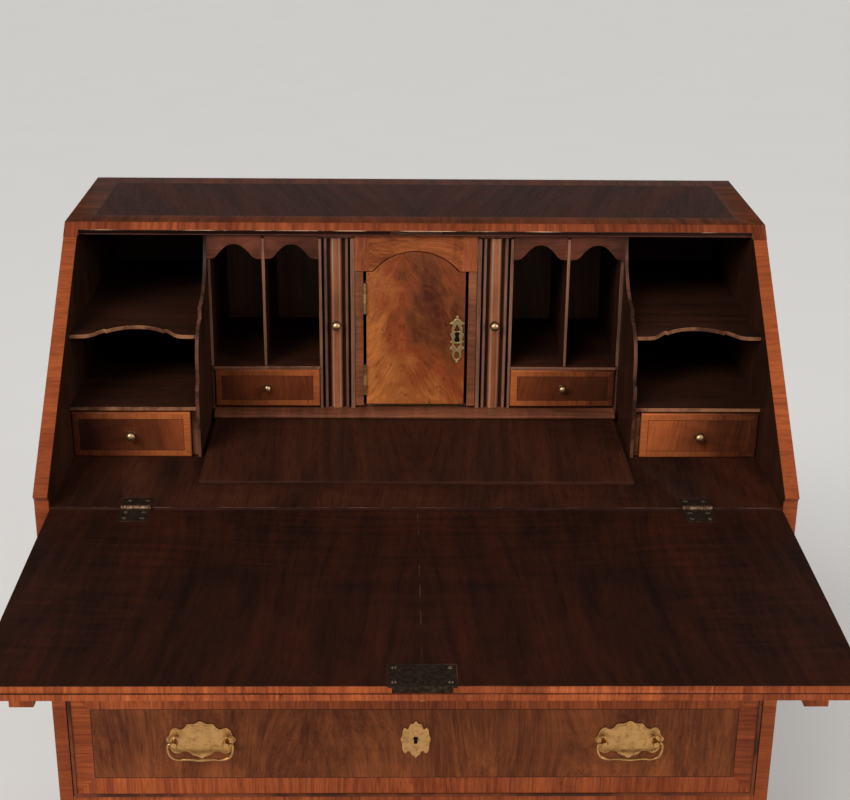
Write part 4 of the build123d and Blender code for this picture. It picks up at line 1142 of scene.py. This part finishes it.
# Right half of a main drawer's handle plate and of its keyhole plate, and their keyhole.
HANDLE_PLATE = (
    (0.0, -0.5), (0.1, -0.43), (0.26, -0.4), (0.36, -0.3), (0.52, -0.3), (0.62, -0.36), (0.78, -0.34),
    (0.88, -0.22), (0.86, -0.1), (1.0, 0.0), (0.86, 0.12), (0.84, 0.24), (0.7, 0.33), (0.56, 0.26),
    (0.44, 0.3), (0.36, 0.42), (0.16, 0.4), (0.0, 0.5),
)
DRAWER_KEYHOLE = ((0.0, 0.57), (0.055, 0.565), (0.085, 0.53), (0.05, 0.495), (0.06, 0.4), (0.0, 0.395))

# The drawers' brasses: the plates' thickness, how far out the posts and rims sit on them, the rims'
# thickness, and how far each post stands from the plate's middle.
PLATE, PLATE_SEAT, RIM, POST_SIDE = 0.0015, 0.0014, 0.0004, 0.033


def whole_outline(half, centre_x, low_z, half_width, height, rounds=2):
    """A plate's outline from its right half, mirrored and softened."""
    points = [(x, z) for x, z in half]
    points += [(-x, z) for x, z in reversed(half) if x > 0.0]
    return [(centre_x + x * half_width, low_z + z * height) for x, z in softened(points, rounds)]


class MakeBrass(bpy.types.Operator):
    """Knobs, plates, bails, hinges and locks"""

    bl_idname = "bureau.make_brass"
    bl_label = "Brass"

    def execute(self, context):
        for node in frame["nodes"]:
            if "_knob_" in node:
                self.knob(node)
            elif node.endswith("_brasses"):
                self.handles(node)
            elif "_bail" in node:
                self.bail(node)
        self.door()
        dull_brass, steel = metal("dull brass"), metal("knuckle")
        knuckle_radius, barrel_reach = 0.0034, 0.0022
        hinge_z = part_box("bed_hinge_leaves")[1].z - knuckle_radius

        def leaf(centre, normal):
            barrel = abs(centre.z - hinge_z) > barrel_reach or abs(normal.y) > 0.1
            return steel if barrel and normal.z > -0.5 else dull_brass

        finished("bed_hinge_leaves", leaf, 0.0003)
        finished("fall_hinge_leaves", leaf, 0.0003)
        for node, kind, width in (
            ("fall_lock", "dull brass", 0.0003),
            ("strike_plate", "worn steel", 0.0002),
            ("door_frame_leaves", "aged brass", 0.0002),
            ("fall_escutcheon", "aged brass", 0.0004),
        ):
            finished(node, even(metal(kind)), width)
        self.screws()
        return {"FINISHED"}

    def knob(self, node):
        """A turned knob over its dark rose."""
        low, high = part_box(node)
        radius = (high.x - low.x) / 2.0 / ROSE[0][0]
        reach = high.y - low.y
        seat = Vector(((low.x + high.x) / 2.0, high.y, (low.z + high.z) / 2.0))
        work = bmesh.new()
        for index, profile in enumerate((ROSE, BULB)):
            lathed(work, seat, [(radius * part, reach * out) for part, out in profile], index)
        stand_in(node, work, [metal("dark rose"), metal("aged brass")], smooth=50.0)

    def door(self):
        """The door's hinge leaves and its pierced plate, with painted shade behind its keyhole."""
        node = "door_brass"
        work = welded(node)
        plate = [v for v in work.verts if v.co.x > 0.0]
        left, right = min(v.co.x for v in plate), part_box(node)[1].x
        foot, top = min(v.co.z for v in plate), max(v.co.z for v in plate)
        face_y = max(v.co.y for v in plate)
        thick = face_y - min(v.co.y for v in plate)
        bmesh.ops.delete(work, geom=plate, context="VERTS")
        centre, height = (left + right) / 2.0, top - foot
        halves = (DOOR_PLATE, *PLATE_HOLES, KEYHOLE)
        outlines = [whole_outline(half, centre, foot, (right - left) / 2.0, height) for half in halves]
        cut_plate(work, outlines, face_y, thick, bevel=0.00025)
        keyhole_shade(work, outlines[-1], face_y - 0.00012)
        stand_in(node, work, [metal("pierced brass"), dull("keyhole")], smooth=40.0)
        points = [(centre, face_y - thick + 0.0001, foot + height * share) for share in (0.035, 0.92)]
        head = (sizes().pin_radius, 0.0004, False)
        fasteners("door_plate_pins", node, points, head, math.radians(90.0), 5, "pierced brass")

    def screws(self):
        """Screws in the fall's hinges and lock."""
        # A leaf's width, its screws' places across and back from the hinge line, and the lock's screws'
        # places in from its edges; the heads are sunk, and the fall stands a gap off the bed.
        leaf_width, across, bed_back, fall_backs = 0.036, (0.2, 0.8), 0.0075, (0.012, 0.027)
        lock_inset, lock_front, sink, fall_gap = 0.006, 0.007, 0.00045, 0.0015
        low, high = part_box("bed_hinge_leaves")
        bed_low, bed_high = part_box("bed_board")
        front_y, top_z = bed_low.y - fall_gap, bed_high.z - sink
        bed, fall = [], []
        for start in (low.x, high.x - leaf_width):
            for share in across:
                x = start + leaf_width * share
                bed.append((x, high.y - bed_back, top_z))
                for back in fall_backs:
                    fall.append((x, front_y - back * math.cos(DROOP), top_z - back * math.sin(DROOP)))
        low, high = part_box("fall_lock")
        lock = []
        for x in (low.x + lock_inset, high.x - lock_inset):
            for y in (low.y + lock_front, high.y - lock_inset):
                lock.append((x, y, top_z - (front_y - y) * math.tan(DROOP)))
        head = (sizes().screw_radius, 0.0006, True)
        fasteners("bed_hinge_screws", "bed_hinge_leaves", bed, head, 0.0, 7, "worn steel")
        fasteners("fall_hinge_screws", "fall_hinge_leaves", fall, head, DROOP, 8, "worn steel")
        fasteners("lock_screws", "fall_lock", lock, head, DROOP, 9, "worn steel")

    def handles(self, node):
        """Shaped plates, turned posts and the keyhole plate of a main drawer."""
        work = bmesh.new()
        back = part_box(node)[1].y
        # A wide drawer's plates fall into groups this far apart, and a short drawer has a single plate. A
        # plate without posts stands out less than the second size.
        spacing, flat = 0.25, 0.005
        groups = {}
        for vertex in frame["nodes"][node].data.vertices:
            group = 0 if node.startswith("short") else round(vertex.co.x / spacing)
            groups.setdefault(group, []).append(vertex.co)
        for points in groups.values():
            left, right = min(p.x for p in points), max(p.x for p in points)
            foot, top = min(p.z for p in points), max(p.z for p in points)
            centre, middle = (left + right) / 2.0, (foot + top) / 2.0
            half, tall = (right - left) / 2.0, top - foot
            posts = back - min(p.y for p in points)
            outline = whole_outline(HANDLE_PLATE, centre, middle, half, tall)
            if posts > flat:
                cut_plate(work, [outline], back, PLATE, bevel=0.0006)
                rim = [
                    whole_outline(HANDLE_PLATE, centre, middle, half * share, tall * share)
                    for share in (0.9, 0.82)
                ]
                cut_plate(work, rim, back - PLATE_SEAT, RIM, bevel=0.00015)
                for side in (-POST_SIDE, POST_SIDE):
                    self.post(work, Vector((centre + side, back - PLATE_SEAT, middle)), posts - PLATE_SEAT)
            else:
                keyhole = whole_outline(DRAWER_KEYHOLE, centre, foot, 2.0 * half, tall, 1)
                cut_plate(work, [outline, keyhole], back, PLATE, bevel=0.0005)
                keyhole_shade(work, keyhole, back - 0.0001)
        stand_in(node, work, [metal("handle brass"), dull("keyhole")], smooth=40.0)

    def post(self, work, seat, reach):
        """The turned post of a handle, with a foot ring and a round end."""
        profile = [(0.0062, 0.0), (0.0060, 0.0006), (0.0046, 0.0011), (0.0034, 0.002), (0.0031, 0.0042)]
        profile += [(0.0042, 0.0056), (0.0044, reach - 0.0014), (0.0036, reach - 0.0004), (0.0012, reach)]
        lathed(work, seat, profile, count=20)

    def bail(self, node):
        """A swelling bail with scrolled corners."""
        low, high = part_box(node)
        thin = (high.y - low.y) / 2.0
        centre, y, top = (low.x + high.x) / 2.0, (low.y + high.y) / 2.0, high.z - thin
        half, drop = (high.x - low.x) / 2.0 - thin, top - (low.z + thin)
        corner = [(half - 0.0135, 0.0), (half - 0.001, 0.0), (half, -0.003), (half, -drop * 0.45)]
        corner += [(half - 0.004, -drop * 0.86), (half - 0.015, -drop), (half * 0.45, -drop * 0.94)]
        corner += [(half * 0.22, -drop * 0.97), (0.0, -drop)]
        right = softened(corner, closed=False)
        path = [(-x, z) for x, z in right] + [(x, z) for x, z in reversed(right[:-1])]
        points = [Vector((centre + x, y, top + z)) for x, z in path]
        rings = []
        for number, (point, (x, z)) in enumerate(zip(points, path)):
            swell = max(0.0, 1.0 - abs(x) / (half * 0.4)) * 0.22 if z < -drop * 0.5 else 0.0
            ahead = (points[min(number + 1, len(points) - 1)] - points[max(number - 1, 0)]).normalized()
            rings.append(ring_of(point, OUT, ahead.cross(OUT), thin * (0.74 + swell), 14))
        work = bmesh.new()
        skinned(work, rings)
        stand_in(node, work, [metal("handle brass")], smooth=50.0)


CAMERA_PLACE = Vector((-0.02845, -1.80659, 1.56673))
CAMERA_PITCH, CAMERA_YAW, CAMERA_ROLL = 0.372835, 0.020781, 0.010296
LENS_MM = 67.08


class MakeStage(bpy.types.Operator):
    """Pale floor, soft light and the camera"""

    bl_idname = "bureau.make_stage"
    bl_label = "Stage"

    def execute(self, context):
        self.floor()
        self.light(context.scene)
        self.camera(context.scene)
        context.scene.view_settings.view_transform = "Standard"
        return {"FINISHED"}

    def floor(self):
        """A large plain floor."""
        work = bmesh.new()
        bmesh.ops.create_grid(work, x_segments=1, y_segments=1, size=40.0)
        look = Finish("pale floor")
        share = look.mapped(look.noise(look.place, (3.0, 3.0, 3.0), 3.0), 0.3, 0.7, 0.0, 0.06)
        tint = look.mixed("MIX", share, tuple(tones().stage_floor), colour(210, 208, 204))
        placed("stage_floor", work, [look.surface(tint, 0.9, 0.1)])

    def light(self, scene):
        """Soft light from the left front, weaker light from the right, two windows and a pale sky."""
        for name, strength, spread, turn in (
            ("key", 1.5, 25.0, (48.0, 0.0, -32.0)),
            ("fill", 0.5, 60.0, (55.0, 0.0, 50.0)),
        ):
            lamp = bpy.data.lights.new(name, "SUN")
            lamp.energy = strength
            lamp.angle = math.radians(spread)
            linked(name, lamp).rotation_euler = [math.radians(part) for part in turn]
        aim = Vector((0.0, 0.0, 0.85))
        for name, power, place in (
            ("left window", 26.0, Vector((-2.1, -1.5, 2.1))),
            ("right window", 20.0, Vector((2.2, -1.4, 1.9))),
        ):
            lamp = bpy.data.lights.new(name, "AREA")
            lamp.energy = power
            lamp.size = 0.8
            turn = (aim - place).to_track_quat("-Z", "Y").to_matrix().to_4x4()
            linked(name, lamp).matrix_world = Matrix.Translation(place) @ turn
        world = bpy.data.worlds.new("pale sky")
        world.use_nodes = True
        sky = world.node_tree.nodes["Background"]
        sky.inputs["Color"].default_value = (1.0, 0.98, 0.96, 1.0)
        sky.inputs["Strength"].default_value = 0.32
        scene.world = world

    def camera(self, scene):
        """The camera at the photograph's place."""
        lens = bpy.data.cameras.new("view")
        lens.sensor_width = 36.0
        lens.lens = LENS_MM
        lens.clip_end = 200.0
        pitch = Matrix.Rotation(math.radians(90.0) - CAMERA_PITCH, 3, "X")
        turn = Matrix.Rotation(-CAMERA_YAW, 3, "Z") @ pitch @ Matrix.Rotation(CAMERA_ROLL, 3, "Z")
        scene.camera = linked("view", lens)
        scene.camera.matrix_world = Matrix.Translation(CAMERA_PLACE) @ turn.to_4x4()


class BureauPanel(bpy.types.Panel):
    """The bureau's pieces"""

    bl_idname = "VIEW3D_PT_writing_bureau"
    bl_label = "Writing Bureau"
    bl_space_type = "VIEW_3D"
    bl_region_type = "UI"
    bl_category = "Bureau"

    def draw(self, context):
        layout = self.layout
        for group in (context.scene.bureau_tones, context.scene.bureau_sizes):
            column = layout.column(align=True)
            for name in group.bl_rna.properties.keys():
                if name not in {"rna_type", "name"}:
                    column.prop(group, name)
        for operator in OPERATORS:
            layout.operator(operator.bl_idname)


OPERATORS = (
    MakeCase,
    MakeInterior,
    MakeCupboard,
    MakeFall,
    MakeSmallDrawers,
    MakeCaseDrawers,
    MakeBrass,
    MakeStage,
)
CLASSES = (BureauTones, BureauSizes, *OPERATORS, BureauPanel)


def register():
    """Registers the classes and hangs the properties on the scene."""
    for item in CLASSES:
        bpy.utils.register_class(item)
    bpy.types.Scene.bureau_tones = bpy.props.PointerProperty(type=BureauTones)
    bpy.types.Scene.bureau_sizes = bpy.props.PointerProperty(type=BureauSizes)


def unregister():
    """Takes the properties and classes away again."""
    del bpy.types.Scene.bureau_sizes
    del bpy.types.Scene.bureau_tones
    for item in reversed(CLASSES):
        bpy.utils.unregister_class(item)


def main():
    """Makes every piece in order."""
    register()
    bpy.ops.bureau.make_case()
    bpy.ops.bureau.make_interior()
    bpy.ops.bureau.make_cupboard()
    bpy.ops.bureau.make_fall()
    bpy.ops.bureau.make_small_drawers()
    bpy.ops.bureau.make_case_drawers()
    bpy.ops.bureau.make_brass()
    bpy.ops.bureau.make_stage()


if __name__ == "__main__":
    main()
